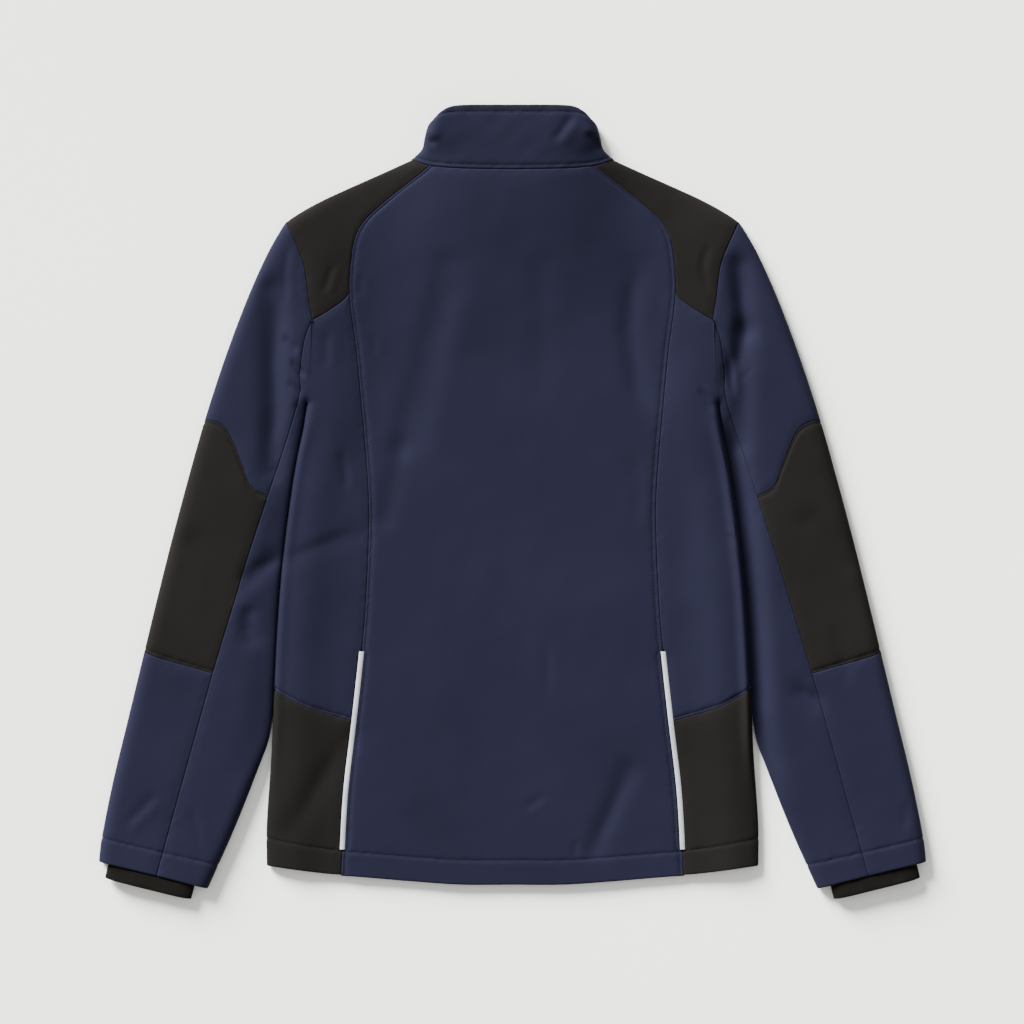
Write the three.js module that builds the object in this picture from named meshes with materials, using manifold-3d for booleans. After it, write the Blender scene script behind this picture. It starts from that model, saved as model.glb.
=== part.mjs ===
// Softshell jacket laid flat on a floor with its back up.
// Millimetres. +Y runs to the collar, +Z up, the floor is z = 0 and x = 0 is the centre back.
// The wearer's left is at -X. Both halves share one pattern, and the folds differ.
import * as THREE from 'three';
import { mergeVertices } from 'three/addons/utils/BufferGeometryUtils.js';
import Module from 'manifold-3d';

const wasm = await Module();
wasm.setup();

// Cloth and seams
const seamGap = 0.3;
const underGap = 0.6;
const clothWall = 1.8;
const hemWall = 3.0;
const collarWall = 3.0;
const cuffWall = 1.4;
const hemTurn = 24;
const facingWidth = 22;
const turnStep = 4;
const frontRowsFromUnderarm = [-50, -25, 1, 15];

// Rounding of the folds at the silhouette. The shares say where a row has points in it.
const foldHeight = 4.5;
const foldRound = 15;
const underRound = 6;
const foldPointShares = [1, 0.5, 0.14, 0];
const underPointShares = [0.3, 1];
const underLap = 9;
const shoulderLap = 16;

// Heights of the upper layer where it is clear of a fold
const bodyHeight = 7.6;
const sideRidge = { rise: 3.4, inset: 26, reach: 24 };
const armholeHeight = 13;
const armholeReach = 75;
const sleeveHeight = 13.5;
const neckRise = { rise: 12, halfWidth: 95, startY: 130, fullY: 335 };

// Zip, slider and pull
const zipEdge = 6.3;
const tape = { halfWidth: 14, thick: 0.7, chainHalf: 2.9, chainDeep: 1.2 };
const zipLift = { rise: 6, halfWidth: 62, startY: 200, halfY: 258, fullY: 316, flatShare: 0.15 };
const tapeClear = 0.5;
const zipBottomY = -372;
const zipTopY = 356;

// Seam and edge lines of one half, named by what they follow. x is out from the centre back.
const outerEdge = [
  { y: 342, x: 101 }, { y: 326, x: 136.5 }, { y: 314, x: 163.5 }, { y: 302, x: 189.5 },
  { y: 290, x: 211.5 }, { y: 280, x: 226 }, { y: 272, x: 232 }, { y: 247, x: 246 },
  { y: 202, x: 266 }, { y: 142, x: 288.5 }, { y: 82, x: 308 }, { y: 22, x: 325 },
  { y: -38, x: 341 }, { y: -98, x: 356 }, { y: -158, x: 370.5 }, { y: -218, x: 385 },
  { y: -278, x: 399.5 }, { y: -338, x: 411.5 }, { y: -360, x: 414 },
];
const bodySide = [
  { y: 98, x: 206 }, { y: 74, x: 209.5 }, { y: 46, x: 215.5 }, { y: 18, x: 220.5 },
  { y: -38, x: 228 }, { y: -98, x: 234 }, { y: -188, x: 239 }, { y: -248, x: 241 },
  { y: -323, x: 246 }, { y: -366, x: 246 },
];
const sleeveInner = [
  { y: 98, x: 206 }, { y: 74, x: 209.5 }, { y: 46, x: 215.5 }, { y: 18, x: 220.5 },
  { y: -38, x: 228 }, { y: -98, x: 234 }, { y: -188, x: 239 }, { y: -218, x: 240.5 },
  { y: -240, x: 244.5 }, { y: -263, x: 253 }, { y: -308, x: 270.5 }, { y: -338, x: 283 },
  { y: -368, x: 296.5 }, { y: -387, x: 305 },
];
const armhole = [
  { y: 280, x: 226 }, { y: 266, x: 219.5 }, { y: 250, x: 212.5 }, { y: 234, x: 207.5 },
  { y: 202, x: 203.5 }, { y: 182, x: 200.5 }, { y: 132, x: 202 }, { y: 98, x: 206 },
];
const backSeam = [
  { y: 336, x: 83.5 }, { y: 330, x: 90 }, { y: 314, x: 111 }, { y: 298, x: 130.5 },
  { y: 282, x: 147.5 }, { y: 266, x: 157 }, { y: 242, x: 161.5 }, { y: 209, x: 163 },
  { y: 147, x: 155.5 }, { y: 27, x: 145 }, { y: -20, x: 143.5 }, { y: -105, x: 147 },
  { y: -146, x: 150.5 }, { y: -219, x: 158.5 }, { y: -292, x: 167 }, { y: -374, x: 171.5 },
];
const neckSeam = [
  { x: 0, y: 332 }, { x: 50, y: 333 }, { x: 83.5, y: 336 }, { x: 101, y: 342 },
];
const hemEdge = [
  { x: 0, y: -382 }, { x: 50, y: -382 }, { x: 90, y: -379.5 }, { x: 150, y: -374.5 },
  { x: 190, y: -371.5 }, { x: 246, y: -364 },
];
const shoulderLower = [
  { x: 163, y: 209 }, { x: 169, y: 202 }, { x: 180, y: 194 }, { x: 192, y: 186.5 },
  { x: 200.5, y: 182 },
];
const lowerPanelTop = [
  { x: 158.5, y: -219 }, { x: 191, y: -210 }, { x: 211, y: -203 }, { x: 239, y: -188 },
];
const sleeveSeam = [
  { x: 200.5, y: 182 }, { x: 208, y: 162 }, { x: 212.5, y: 130 }, { x: 215, y: 98 },
  { x: 244.5, y: 6 }, { x: 263.5, y: -52 }, { x: 280.5, y: -108 }, { x: 299.5, y: -171 },
  { x: 328, y: -273 }, { x: 356, y: -374 },
];
const elbowTop = [
  { x: 244.5, y: 6 }, { x: 254.5, y: 10 }, { x: 263, y: 18 }, { x: 268, y: 32 },
  { x: 273.5, y: 46 }, { x: 279, y: 60 }, { x: 287, y: 74 }, { x: 298, y: 80.5 },
  { x: 308, y: 82 },
];
const elbowBottom = [
  { x: 299.5, y: -171 }, { x: 332, y: -162 }, { x: 356.5, y: -155 }, { x: 368.5, y: -150 },
];
const sleeveHem = { inner: [305, -387], seam: [356, -374], outer: [414, -360] };
const frontArmholeTop = { x: 221.4, y: 270.6 };
const frontNeck = { centreY: 286, endX: 85, bend: 1.7 };

// Largest folds of the upper layer: a trough from one point to another, its half width and depth
const folds = [
  { x1: -66, y1: 238, x2: -111, y2: 55, half: 17, deep: 1.5 },
  { x1: -111, y1: 55, x2: -127, y2: -16, half: 14, deep: 1.3 },
  { x1: 120, y1: 238, x2: 121, y2: 116, half: 15, deep: 1.2 },
  { x1: 29, y1: 238, x2: 29, y2: 116, half: 15, deep: 1.1 },
  { x1: 116, y1: -269, x2: 82, y2: -345, half: 14, deep: 1.6 },
  { x1: -226, y1: -58, x2: -158, y2: -34, half: 13, deep: 1.6 },
  { x1: -252, y1: 212, x2: -250, y2: 32, half: 15, deep: 3.4 },
  { x1: -262, y1: -76, x2: -242, y2: -58, half: 13, deep: 2.4 },
  { x1: -264, y1: -114, x2: -262, y2: -134, half: 14, deep: 2.2 },
  { x1: 227, y1: 236, x2: 233, y2: 172, half: 14, deep: 3.0 },
  { x1: 233, y1: 172, x2: 228, y2: 60, half: 14, deep: 3.4 },
  { x1: 288, y1: -190, x2: 300, y2: -198, half: 15, deep: 1.8 },
  { x1: -162, y1: -238, x2: -222, y2: -328, half: 18, deep: 1.4 },
  { x1: 300, y1: -20, x2: 336, y2: -60, half: 16, deep: 1.5 },
  { x1: -318, y1: -40, x2: -280, y2: -92, half: 16, deep: 1.5 },
];

// How many cells each patch has
const cells = {
  centreColumns: 16, lowerRows: 6, sideRows: 14, rowsPastUnderarm: 3, shoulderRows: 7, yokeRows: 3,
  topColumns: 4, sleeveColumns: 4, sleeveUpperRows: 7, elbowRows: 6, sleeveLowerRows: 5,
  tuckColumns: 3, underColumns: 4, frontRows: 6, neckSteps: 12, collarRows: 4, collarColumns: 8, zipBends: 6,
};

const colours = {
  navy: { color: 0x2a2e42, roughness: 0.86, metalness: 0 },
  black: { color: 0x282623, roughness: 0.92, metalness: 0 },
  silver: { color: 0xc8cdd2, roughness: 0.45, metalness: 0.2 },
  tapeBlack: { color: 0x1c1d22, roughness: 0.8, metalness: 0 },
  metal: { color: 0x2b2c2f, roughness: 0.35, metalness: 0.8 },
};

const lerp = (from, to, share) => from + (to - from) * share;
const clamp = (value) => Math.min(Math.max(value, 0), 1);
const smooth = (value) => clamp(value) ** 2 * (3 - 2 * clamp(value));

// Rises from 0 at a fold to 1 at its reach, as a quarter circle does.
function climb(distance, reach) {
  return Math.sqrt(1 - (1 - clamp(distance / reach)) ** 2);
}

// Reads column `want` of a table at a value of column `by`, on a smooth curve through its rows.
function readTable(table, by, want, value) {
  const rising = table[0][by] < table[table.length - 1][by];
  const rows = rising ? table : [...table].reverse();
  let low = 0;
  while (low < rows.length - 2 && rows[low + 1][by] < value) low += 1;
  const slopeAt = (index) => {
    const before = rows[Math.max(index - 1, 0)];
    const after = rows[Math.min(index + 1, rows.length - 1)];
    return (after[want] - before[want]) / (after[by] - before[by]);
  };
  const span = rows[low + 1][by] - rows[low][by];
  const share = clamp((value - rows[low][by]) / span);
  const bendIn = slopeAt(low) * span;
  const bendOut = slopeAt(low + 1) * span;
  const start = rows[low][want];
  const end = rows[low + 1][want];
  const curve = 3 * (end - start) - 2 * bendIn - bendOut;
  const twist = bendIn + bendOut - 2 * (end - start);
  return start + bendIn * share + curve * share ** 2 + twist * share ** 3;
}

const outerX = (y) => readTable(outerEdge, 'y', 'x', y);
const bodySideX = (y) => readTable(bodySide, 'y', 'x', y) - seamGap;
const sleeveInnerX = (y) => readTable(sleeveInner, 'y', 'x', y) + seamGap;
const armholeX = (y) => readTable(armhole, 'y', 'x', y);
const backSeamX = (y) => readTable(backSeam, 'y', 'x', y);
const neckY = (x) => readTable(neckSeam, 'x', 'y', Math.abs(x));
const hemY = (x) => readTable(hemEdge, 'x', 'y', Math.abs(x));

// Front neck seam, underneath: it leaves the back neck seam where the shoulder's lap ends.
function frontNeckY(out) {
  if (out > frontNeck.endX) return neckY(out);
  return lerp(frontNeck.centreY, neckY(frontNeck.endX), (out / frontNeck.endX) ** frontNeck.bend);
}

// Front armhole, underneath: straight from the underarm to the lap of the sleeve.
function frontArmholeX(y) {
  const low = armhole.at(-1);
  return lerp(low.x, frontArmholeTop.x, (y - low.y) / (frontArmholeTop.y - low.y));
}

// Points along a line x = f(y), from one y to another.
function lineByY(xAt, fromY, toY, steps) {
  return Array.from({ length: steps + 1 }, (_, step) => {
    const y = lerp(fromY, toY, step / steps);
    return [xAt(y), y];
  });
}

// Points along a table whose rows are x and y, as a smooth line.
function lineByPoints(table, steps) {
  const spline = new THREE.SplineCurve(table.map((row) => new THREE.Vector2(row.x, row.y)));
  return spline.getSpacedPoints(steps).map((point) => [point.x, point.y]);
}

const span = (from, to) => Math.hypot(to[0] - from[0], to[1] - from[1]);

// The length along a line of points up to each of them.
function lengthsAlong(line) {
  const lengths = [0];
  line.slice(1).forEach((point, index) => lengths.push(lengths[index] + span(line[index], point)));
  return lengths;
}

// The point at a share of the length of a line of points.
function pointAlong(line, share) {
  const lengths = lengthsAlong(line);
  const wanted = clamp(share) * lengths[lengths.length - 1];
  let low = 0;
  while (low < line.length - 2 && lengths[low + 1] < wanted) low += 1;
  const part = (wanted - lengths[low]) / (lengths[low + 1] - lengths[low]);
  return [lerp(line[low][0], line[low + 1][0], part), lerp(line[low][1], line[low + 1][1], part)];
}

function distanceToLine(line, x, y) {
  let nearest = Infinity;
  for (let index = 1; index < line.length; index += 1) {
    const [startX, startY] = line[index - 1];
    const alongX = line[index][0] - startX;
    const alongY = line[index][1] - startY;
    const dot = (x - startX) * alongX + (y - startY) * alongY;
    const share = clamp(dot / (alongX ** 2 + alongY ** 2));
    const gap = Math.hypot(x - startX - alongX * share, y - startY - alongY * share);
    nearest = Math.min(nearest, gap);
  }
  return nearest;
}

const underarmY = armhole.at(-1).y;
const shoulderY = armhole[0].y;
const outerTopY = outerEdge[0].y;
const sleeveEndY = outerEdge.at(-1).y;
const innerEndY = sleeveInner.at(-1).y;
const bodyEndY = bodySide.at(-1).y;
const lineSteps = 90;
const seamSteps = 24;
const outerLine = lineByY(outerX, outerTopY, sleeveEndY - hemTurn, lineSteps);
const bodyLine = lineByY(bodySideX, underarmY, bodyEndY - hemTurn, lineSteps);
const sleeveLine = lineByY(sleeveInnerX, underarmY, innerEndY, lineSteps);
const armholeLine = lineByY(armholeX, shoulderY, underarmY, lineSteps);

// Height lost to the folds at a point; each trough fades out at its ends.
function foldDepth(x, y) {
  const steepness = 1.6;
  return folds.reduce((sum, fold) => {
    const line = [[fold.x1, fold.y1], [fold.x2, fold.y2]];
    const gap = distanceToLine(line, x, y) / fold.half;
    return sum + fold.deep * Math.exp(-(gap ** 2) * steepness);
  }, 0);
}

// Height of the upper layer. zone is 'body' or 'sleeve'; x is signed.
function heightAt(x, y, zone) {
  const out = Math.abs(x);
  const toOuter = distanceToLine(outerLine, out, y);
  const toInner = distanceToLine(zone === 'body' ? bodyLine : sleeveLine, out, y);
  const neckShare = smooth((y - neckRise.startY) / (neckRise.fullY - neckRise.startY));
  const neck = neckRise.rise * neckShare * Math.exp(-((x / neckRise.halfWidth) ** 4));
  const ridge = sideRidge.rise * Math.exp(-(((toInner - sideRidge.inset) / sideRidge.reach) ** 2));
  const own = zone === 'body' ? bodyHeight + ridge + neck : sleeveHeight;
  const crown = lerp(armholeHeight, own, smooth(distanceToLine(armholeLine, out, y) / armholeReach));
  const full = climb(toOuter, foldRound) * climb(toInner, foldRound);
  return foldHeight + (crown - foldHeight - foldDepth(x, y)) * full;
}

// Height of the underside: flat on the floor once it is clear of the fold.
function underHeight(x, y, zone) {
  const toOuter = distanceToLine(outerLine, Math.abs(x), y);
  const toInner = distanceToLine(zone === 'body' ? bodyLine : sleeveLine, Math.abs(x), y);
  return foldHeight * (1 - climb(Math.min(toOuter, toInner), underRound));
}

// How far the zip's top lifts the cloth off the floor at the front neck.
function liftAt(x, y) {
  const up = smooth((y - zipLift.startY) / (zipLift.fullY - zipLift.startY));
  return zipLift.rise * up * smooth(1 + zipLift.flatShare - Math.abs(x) / zipLift.halfWidth);
}

// A point of a patch between four lines, each a function of a share that gives [x, y].
// Its sides run exactly on `left` and `right`.
function patchPoint(patch, up, across) {
  const [bottom, top] = [patch.bottom(across), patch.top(across)];
  const [lowLeft, highLeft] = [patch.bottom(0), patch.top(0)];
  const [lowRight, highRight] = [patch.bottom(1), patch.top(1)];
  const [left, right] = [patch.left(up), patch.right(up)];
  return [0, 1].map((axis) => {
    const leftPull = left[axis] - lerp(lowLeft[axis], highLeft[axis], up);
    const rightPull = right[axis] - lerp(lowRight[axis], highRight[axis], up);
    return lerp(bottom[axis], top[axis], up) + lerp(leftPull, rightPull, across);
  });
}

// Shares across a row that are even at first and close together at the fold that ends it.
function sharesToFold(length, count) {
  const round = Math.min(foldRound / length, 0.5);
  const even = Array.from({ length: count }, (_, index) => (index / count) * (1 - round));
  return [...even, ...foldPointShares.map((share) => 1 - round * share)];
}

const evenShares = (count) => Array.from({ length: count + 1 }, (_, index) => index / count);
const along = (line, from, to) => (share) => pointAlong(line, lerp(from, to, share));

// A geometry from a list of corners, three for each triangle.
function geometryFrom(corners) {
  const geometry = new THREE.BufferGeometry();
  const flat = corners.flatMap((corner) => [corner.x, corner.y, corner.z]);
  geometry.setAttribute('position', new THREE.Float32BufferAttribute(flat, 3));
  geometry.computeVertexNormals();
  return geometry;
}

// A closed cloth wall. rows are outer points; each is pushed in by thickness(point).
// keeps(row, column) says whether the cell after that point is cloth.
function wallFromRows(rows, thickness, facing, keeps = () => true) {
  const rowCount = rows.length;
  const columnCount = rows[0].length;
  const points = rows.flat();
  const normals = points.map(() => new THREE.Vector3());
  const isCell = (row, column) => row >= 0 && column >= 0 && row < rowCount - 1
    && column < columnCount - 1 && keeps(row, column);
  const index = (row, column) => row * columnCount + column;
  const cellList = [];
  for (let row = 0; row < rowCount - 1; row += 1) {
    for (let column = 0; column < columnCount - 1; column += 1) {
      if (isCell(row, column)) cellList.push([row, column]);
    }
  }
  for (const [row, column] of cellList) {
    const ring = [index(row, column), index(row, column + 1),
      index(row + 1, column + 1), index(row + 1, column)];
    const across = points[ring[2]].clone().sub(points[ring[0]]);
    const other = points[ring[3]].clone().sub(points[ring[1]]);
    const normal = across.cross(other).multiplyScalar(facing);
    ring.forEach((corner) => normals[corner].add(normal));
  }
  const inner = points.map((point, spot) => {
    const faces = point.faces ?? normals[spot].normalize();
    return point.clone().addScaledVector(faces, -thickness(point));
  });
  const triangles = [];
  const inside = points.length;
  const addQuad = (a, b, c, d) => {
    const quad = facing > 0 ? [a, b, c, d] : [a, d, c, b];
    triangles.push([quad[0], quad[1], quad[2]], [quad[0], quad[2], quad[3]]);
  };
  for (const [row, column] of cellList) {
    const a = index(row, column);
    const b = index(row, column + 1);
    const c = index(row + 1, column + 1);
    const d = index(row + 1, column);
    addQuad(a, b, c, d);
    addQuad(a + inside, d + inside, c + inside, b + inside);
    if (!isCell(row - 1, column)) addQuad(a, a + inside, b + inside, b);
    if (!isCell(row + 1, column)) addQuad(c, c + inside, d + inside, d);
    if (!isCell(row, column - 1)) addQuad(d, d + inside, a + inside, a);
    if (!isCell(row, column + 1)) addQuad(b, b + inside, c + inside, c);
  }
  const all = [...points, ...inner];
  return geometryFrom(triangles.flat().map((corner) => all[corner]));
}

const group = new THREE.Group();
group.name = 'softshell_jacket';

function addPiece(name, geometry, finish) {
  const mesh = new THREE.Mesh(geometry, new THREE.MeshStandardMaterial(finish));
  mesh.name = name;
  group.add(mesh);
}

const halves = [{ side: -1, name: 'left' }, { side: 1, name: 'right' }];
const slopeStep = 0.5;

// A point of the upper layer, with the way its cloth faces, so that seams meet squarely.
function topPoint(side, [x, y], zone) {
  const heightFrom = (moveX, moveY) => heightAt(side * x + moveX, y + moveY, zone);
  const point = new THREE.Vector3(side * x, y, heightFrom(0, 0));
  const slopeX = heightFrom(slopeStep, 0) - heightFrom(-slopeStep, 0);
  const slopeY = heightFrom(0, slopeStep) - heightFrom(0, -slopeStep);
  point.faces = new THREE.Vector3(-slopeX, -slopeY, 2 * slopeStep).normalize();
  return point;
}

const underPoint = (side, [x, y], zone) => new THREE.Vector3(side * x, y, underHeight(x, y, zone));

// A point of the lap under a fold, a step in from it along its row.
function lapAlongRow(patch, up, step) {
  return patchPoint(patch, up, 1 - step / span(patch.left(up), patch.right(up)));
}

function lapStraightIn(patch, up, step) {
  const [x, y] = patch.right(up);
  return [x - step, y];
}

// The rows of a piece that lies on top from a seam to a fold and carries on under it by a lap.
function foldedRows(side, patch, rowShares, columns, zone, lap) {
  return rowShares.map((up) => {
    const shares = sharesToFold(span(patch.left(up), patch.right(up)), columns);
    const spots = shares.map((across) => patchPoint(patch, up, across));
    const fold = spots[spots.length - 1];
    const top = spots.slice(0, -1).map((spot) => topPoint(side, spot, zone));
    const edge = new THREE.Vector3(side * fold[0], fold[1], foldHeight);
    const under = [...underPointShares.map((share) => share * underRound), lap.width]
      .map((step) => underPoint(side, lap.spot(patch, up, step), zone));
    return [...top, edge, ...under];
  });
}

const sideLap = { width: underLap, spot: lapStraightIn };
const sleeveLap = { width: underLap, spot: lapAlongRow };
const yokeLap = { width: shoulderLap, spot: lapAlongRow };

// The lower back seam opens round the piping and closes again at the hem band.
const piping = { topY: -147, bottomY: -350, halfWidth: 2.5, taper: 5, endGap: 1.5, proud: 0.6 };

function seamHalfGap(y) {
  const inRange = Math.min(piping.topY - y, y - piping.bottomY) / piping.taper;
  return seamGap / 2 + (piping.halfWidth + seamGap / 2) * clamp(inRange);
}

const seamCorners = { hem: backSeam.at(-1).y, lower: lowerPanelTop[0].y,
  shoulder: shoulderLower[0].y, neck: backSeam[0].y };

// Row heights up the back seam, so that both its sides have points at the same places.
function seamStations(fromY, toY, count, extra) {
  const even = evenShares(count).map((share) => lerp(fromY, toY, share));
  const inside = extra.filter((y) => y > fromY && y < toY);
  const kept = even.filter((y) => inside.every((own) => Math.abs(own - y) > piping.taper));
  return [...kept, ...inside].sort((one, other) => one - other);
}

const hemTopY = seamCorners.hem + hemTurn;
const lowerStations = seamStations(seamCorners.hem, seamCorners.lower, cells.lowerRows,
  [hemTopY, hemTopY + piping.taper]);
const sideStations = seamStations(seamCorners.lower, seamCorners.shoulder, cells.sideRows,
  [piping.topY, piping.topY - piping.taper]);
const upperStations = seamStations(seamCorners.shoulder, seamCorners.neck, cells.shoulderRows, []);

const stationShares = (stations) => stations
  .map((y) => (y - stations[0]) / (stations.at(-1) - stations[0]));

const seamRight = (fromY, toY) => (share) => {
  const y = lerp(fromY, toY, share);
  return [backSeamX(y) + seamHalfGap(y), y];
};

function hemmedWall(edgeY) {
  return (point) => (point.y < edgeY(point.x) + hemTurn + 1 ? hemWall : clothWall);
}

// Centre back, from the hem to the neck, between the two back seams.
function buildCentreBack() {
  const stations = [...lowerStations, ...sideStations.slice(1), ...upperStations.slice(1)];
  const half = (y) => backSeamX(y) - seamHalfGap(y);
  const patch = {
    bottom: (across) => {
      const x = lerp(-1, 1, across) * half(seamCorners.hem);
      return [x, hemY(x)];
    },
    top: (across) => {
      const x = lerp(-1, 1, across) * half(seamCorners.neck);
      return [x, neckY(x)];
    },
    left: (up) => {
      const y = lerp(seamCorners.hem, seamCorners.neck, up);
      return [-half(y), y];
    },
    right: (up) => {
      const y = lerp(seamCorners.hem, seamCorners.neck, up);
      return [half(y), y];
    },
  };
  const rows = stationShares(stations).map((up) => evenShares(cells.centreColumns)
    .map((across) => topPoint(1, patchPoint(patch, up, across), 'body')));
  addPiece('back_centre', wallFromRows(rows, hemmedWall(hemY), 1), colours.navy);
}

// Side back, from the lower panel to the shoulder panel, and out to the fold or the armhole.
function buildSideBack(side, name) {
  const lowerLine = lineByPoints(lowerPanelTop, seamSteps);
  const shoulderLine = lineByPoints(shoulderLower, seamSteps);
  const shares = stationShares(sideStations);
  const underarmRow = shares.length - 1 - cells.rowsPastUnderarm;
  const underarmShare = shares[underarmRow];
  const sideStartY = lowerPanelTop.at(-1).y + seamGap;
  const armholeTopY = shoulderLower.at(-1).y - seamGap;
  const shift = (line, move) => (across) => {
    const [x, y] = pointAlong(line, across);
    return [x + seamHalfGap(y) * (1 - across) - seamGap * across, y + move];
  };
  const patch = {
    bottom: shift(lowerLine, seamGap),
    top: shift(shoulderLine, -seamGap),
    left: (up) => {
      const y = lerp(seamCorners.lower + seamGap, seamCorners.shoulder - seamGap, up);
      return [backSeamX(y) + seamHalfGap(y), y];
    },
    right: (up) => {
      if (up <= underarmShare) {
        const y = lerp(sideStartY, underarmY, up / underarmShare);
        return [bodySideX(y), y];
      }
      const y = lerp(underarmY, armholeTopY, (up - underarmShare) / (1 - underarmShare));
      return [armholeX(y) - seamGap / 2, y];
    },
  };
  const rows = foldedRows(side, patch, shares, cells.topColumns, 'body', sideLap);
  const topCells = cells.topColumns + foldPointShares.length - 1;
  shares.forEach((up, row) => {
    if (row <= underarmRow) return;
    const [x, y] = patch.right(up);
    rows[row][topCells] = topPoint(side, [x, y], 'body');
  });
  const keeps = (row, column) => row < underarmRow || column < topCells;
  const geometry = wallFromRows(rows, () => clothWall, side, keeps);
  addPiece(`back_side_${name}`, geometry, colours.navy);
}

// Black lower side panel, from the hem to its slanting top seam.
function buildLowerSide(side, name) {
  const topLine = lineByPoints(lowerPanelTop, seamSteps);
  const sideTopY = lowerPanelTop.at(-1).y;
  const hemCorner = [bodySideX(hemEdge.at(-1).y), hemEdge.at(-1).y];
  const patch = {
    bottom: (across) => {
      const x = lerp(backSeamX(seamCorners.hem) + seamGap / 2, hemCorner[0], across);
      return [x, hemY(x)];
    },
    top: (across) => {
      const [x, y] = pointAlong(topLine, across);
      return [x + seamHalfGap(y) * (1 - across) - seamGap * across, y];
    },
    left: seamRight(hemY(backSeamX(seamCorners.hem)), seamCorners.lower),
    right: (up) => {
      const y = lerp(hemCorner[1], sideTopY, up);
      return [bodySideX(y), y];
    },
  };
  const rowShares = stationShares(lowerStations);
  const rows = foldedRows(side, patch, rowShares, cells.topColumns, 'body', sideLap);
  const geometry = wallFromRows(rows, hemmedWall(hemY), side);
  addPiece(`lower_side_${name}`, geometry, colours.black);
}

// The shoulder panel's four edges, and the shares of its rows from the neck to the armhole.
function shoulderPattern() {
  const innerUp = upperStations.map((y) => [backSeamX(y) + seamGap / 2, y]).reverse();
  const neckSide = [...innerUp, ...lineByPoints(shoulderLower, seamSteps).slice(1)];
  const foldLine = lineByY(outerX, outerTopY, shoulderY, seamSteps);
  const armX = (y) => armholeX(y) - seamGap / 2;
  const armLine = lineByY(armX, shoulderLower.at(-1).y, shoulderY, seamSteps);
  const patch = {
    bottom: (across) => {
      const x = lerp(backSeamX(seamCorners.neck) + seamGap / 2, outerEdge[0].x, across);
      return [x, neckY(x)];
    },
    top: along(armLine, 0, 1),
    left: along(neckSide, 0, 1),
    right: along(foldLine, 0, 1),
  };
  const lengths = lengthsAlong(neckSide);
  const toCorner = lengths.slice(0, innerUp.length);
  const pastCorner = evenShares(cells.yokeRows).slice(1)
    .map((share) => lerp(toCorner.at(-1), lengths.at(-1), share));
  const rowShares = [...toCorner, ...pastCorner].map((length) => length / lengths.at(-1));
  return { patch, rowShares };
}

// Black shoulder panel: from the neck, over the shoulder, down to the armhole.
function buildShoulder(side, name) {
  const { patch, rowShares } = shoulderPattern();
  const rows = foldedRows(side, patch, rowShares, cells.sleeveColumns, 'body', yokeLap);
  addPiece(`shoulder_${name}`, wallFromRows(rows, () => clothWall, -side), colours.black);
}

// Front panel, flat on the floor but for the lift at the zip's top.
function buildFront(side, name) {
  const { patch: shoulder, rowShares: shoulderShares } = shoulderPattern();
  const lapEdge = shoulderShares.map((up) => lapAlongRow(shoulder, up, shoulderLap + underGap));
  const neckEnd = lapEdge[0];
  const neckLine = evenShares(cells.neckSteps).map((share) => {
    const x = lerp(zipEdge, neckEnd[0], share);
    return [x, frontNeckY(x) - (1 - share) * seamGap];
  });
  const topLine = [...neckLine, ...lapEdge.slice(1)];
  const topEnd = topLine.at(-1);
  const outX = (y) => {
    if (y > underarmY) {
      const [start, end] = frontRowsFromUnderarm.slice(-2);
      const joined = smooth((y - underarmY - start) / (end - start));
      const earX = bodySideX(underarmY) - underLap - underGap;
      return lerp(earX, frontArmholeX(y) - underGap, joined);
    }
    return bodySideX(y) - underLap - underGap;
  };
  const hemCornerY = hemEdge.at(-1).y;
  const endShare = 0.1;
  const patch = {
    bottom: (across) => {
      const x = lerp(zipEdge, outX(hemCornerY), across);
      return [x, hemY(x)];
    },
    top: along(topLine, 0, 1),
    left: (up) => [zipEdge, lerp(hemY(0), frontNeck.centreY, up)],
    right: (up) => {
      const y = lerp(hemCornerY, topEnd[1], up);
      return [lerp(outX(y), topEnd[0], smooth(1 - (1 - up) / endShare)), y];
    },
  };
  const middleLength = frontNeck.centreY - hemY(0);
  const sideLength = topEnd[1] - hemCornerY;
  const hemShares = [hemTurn, hemTurn + turnStep].map((height) => height / middleLength);
  const armholeShares = frontRowsFromUnderarm.map((y) => (underarmY + y - hemCornerY) / sideLength);
  const liftShares = evenShares(2)
    .map((share) => (lerp(zipLift.startY, zipLift.halfY, share) - hemY(0)) / middleLength);
  const rowShares = [...evenShares(cells.frontRows), ...hemShares, ...armholeShares, ...liftShares]
    .sort((one, other) => one - other);
  const lengths = lengthsAlong(topLine);
  const lapShares = lengths.slice(neckLine.length - 1).map((length) => length / lengths.at(-1));
  const facing = facingWidth / armholeX(shoulderY);
  const pastFacing = facing + turnStep / armholeX(shoulderY);
  const between = evenShares(3).slice(1, -1).map((share) => lerp(pastFacing, lapShares[0], share));
  const columnShares = [0, facing, pastFacing, ...between, ...lapShares];
  const rows = rowShares.map((up) => columnShares.map((across) => {
    const [x, y] = patchPoint(patch, up, across);
    return new THREE.Vector3(side * x, y, liftAt(x, y));
  }));
  const thickness = (point) => {
    if (point.y < hemY(point.x) + hemTurn + 1) return hemWall;
    return Math.abs(point.x) < zipEdge + facingWidth ? collarWall : clothWall;
  };
  addPiece(`front_${name}`, wallFromRows(rows, thickness, -side), colours.navy);
}

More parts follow.
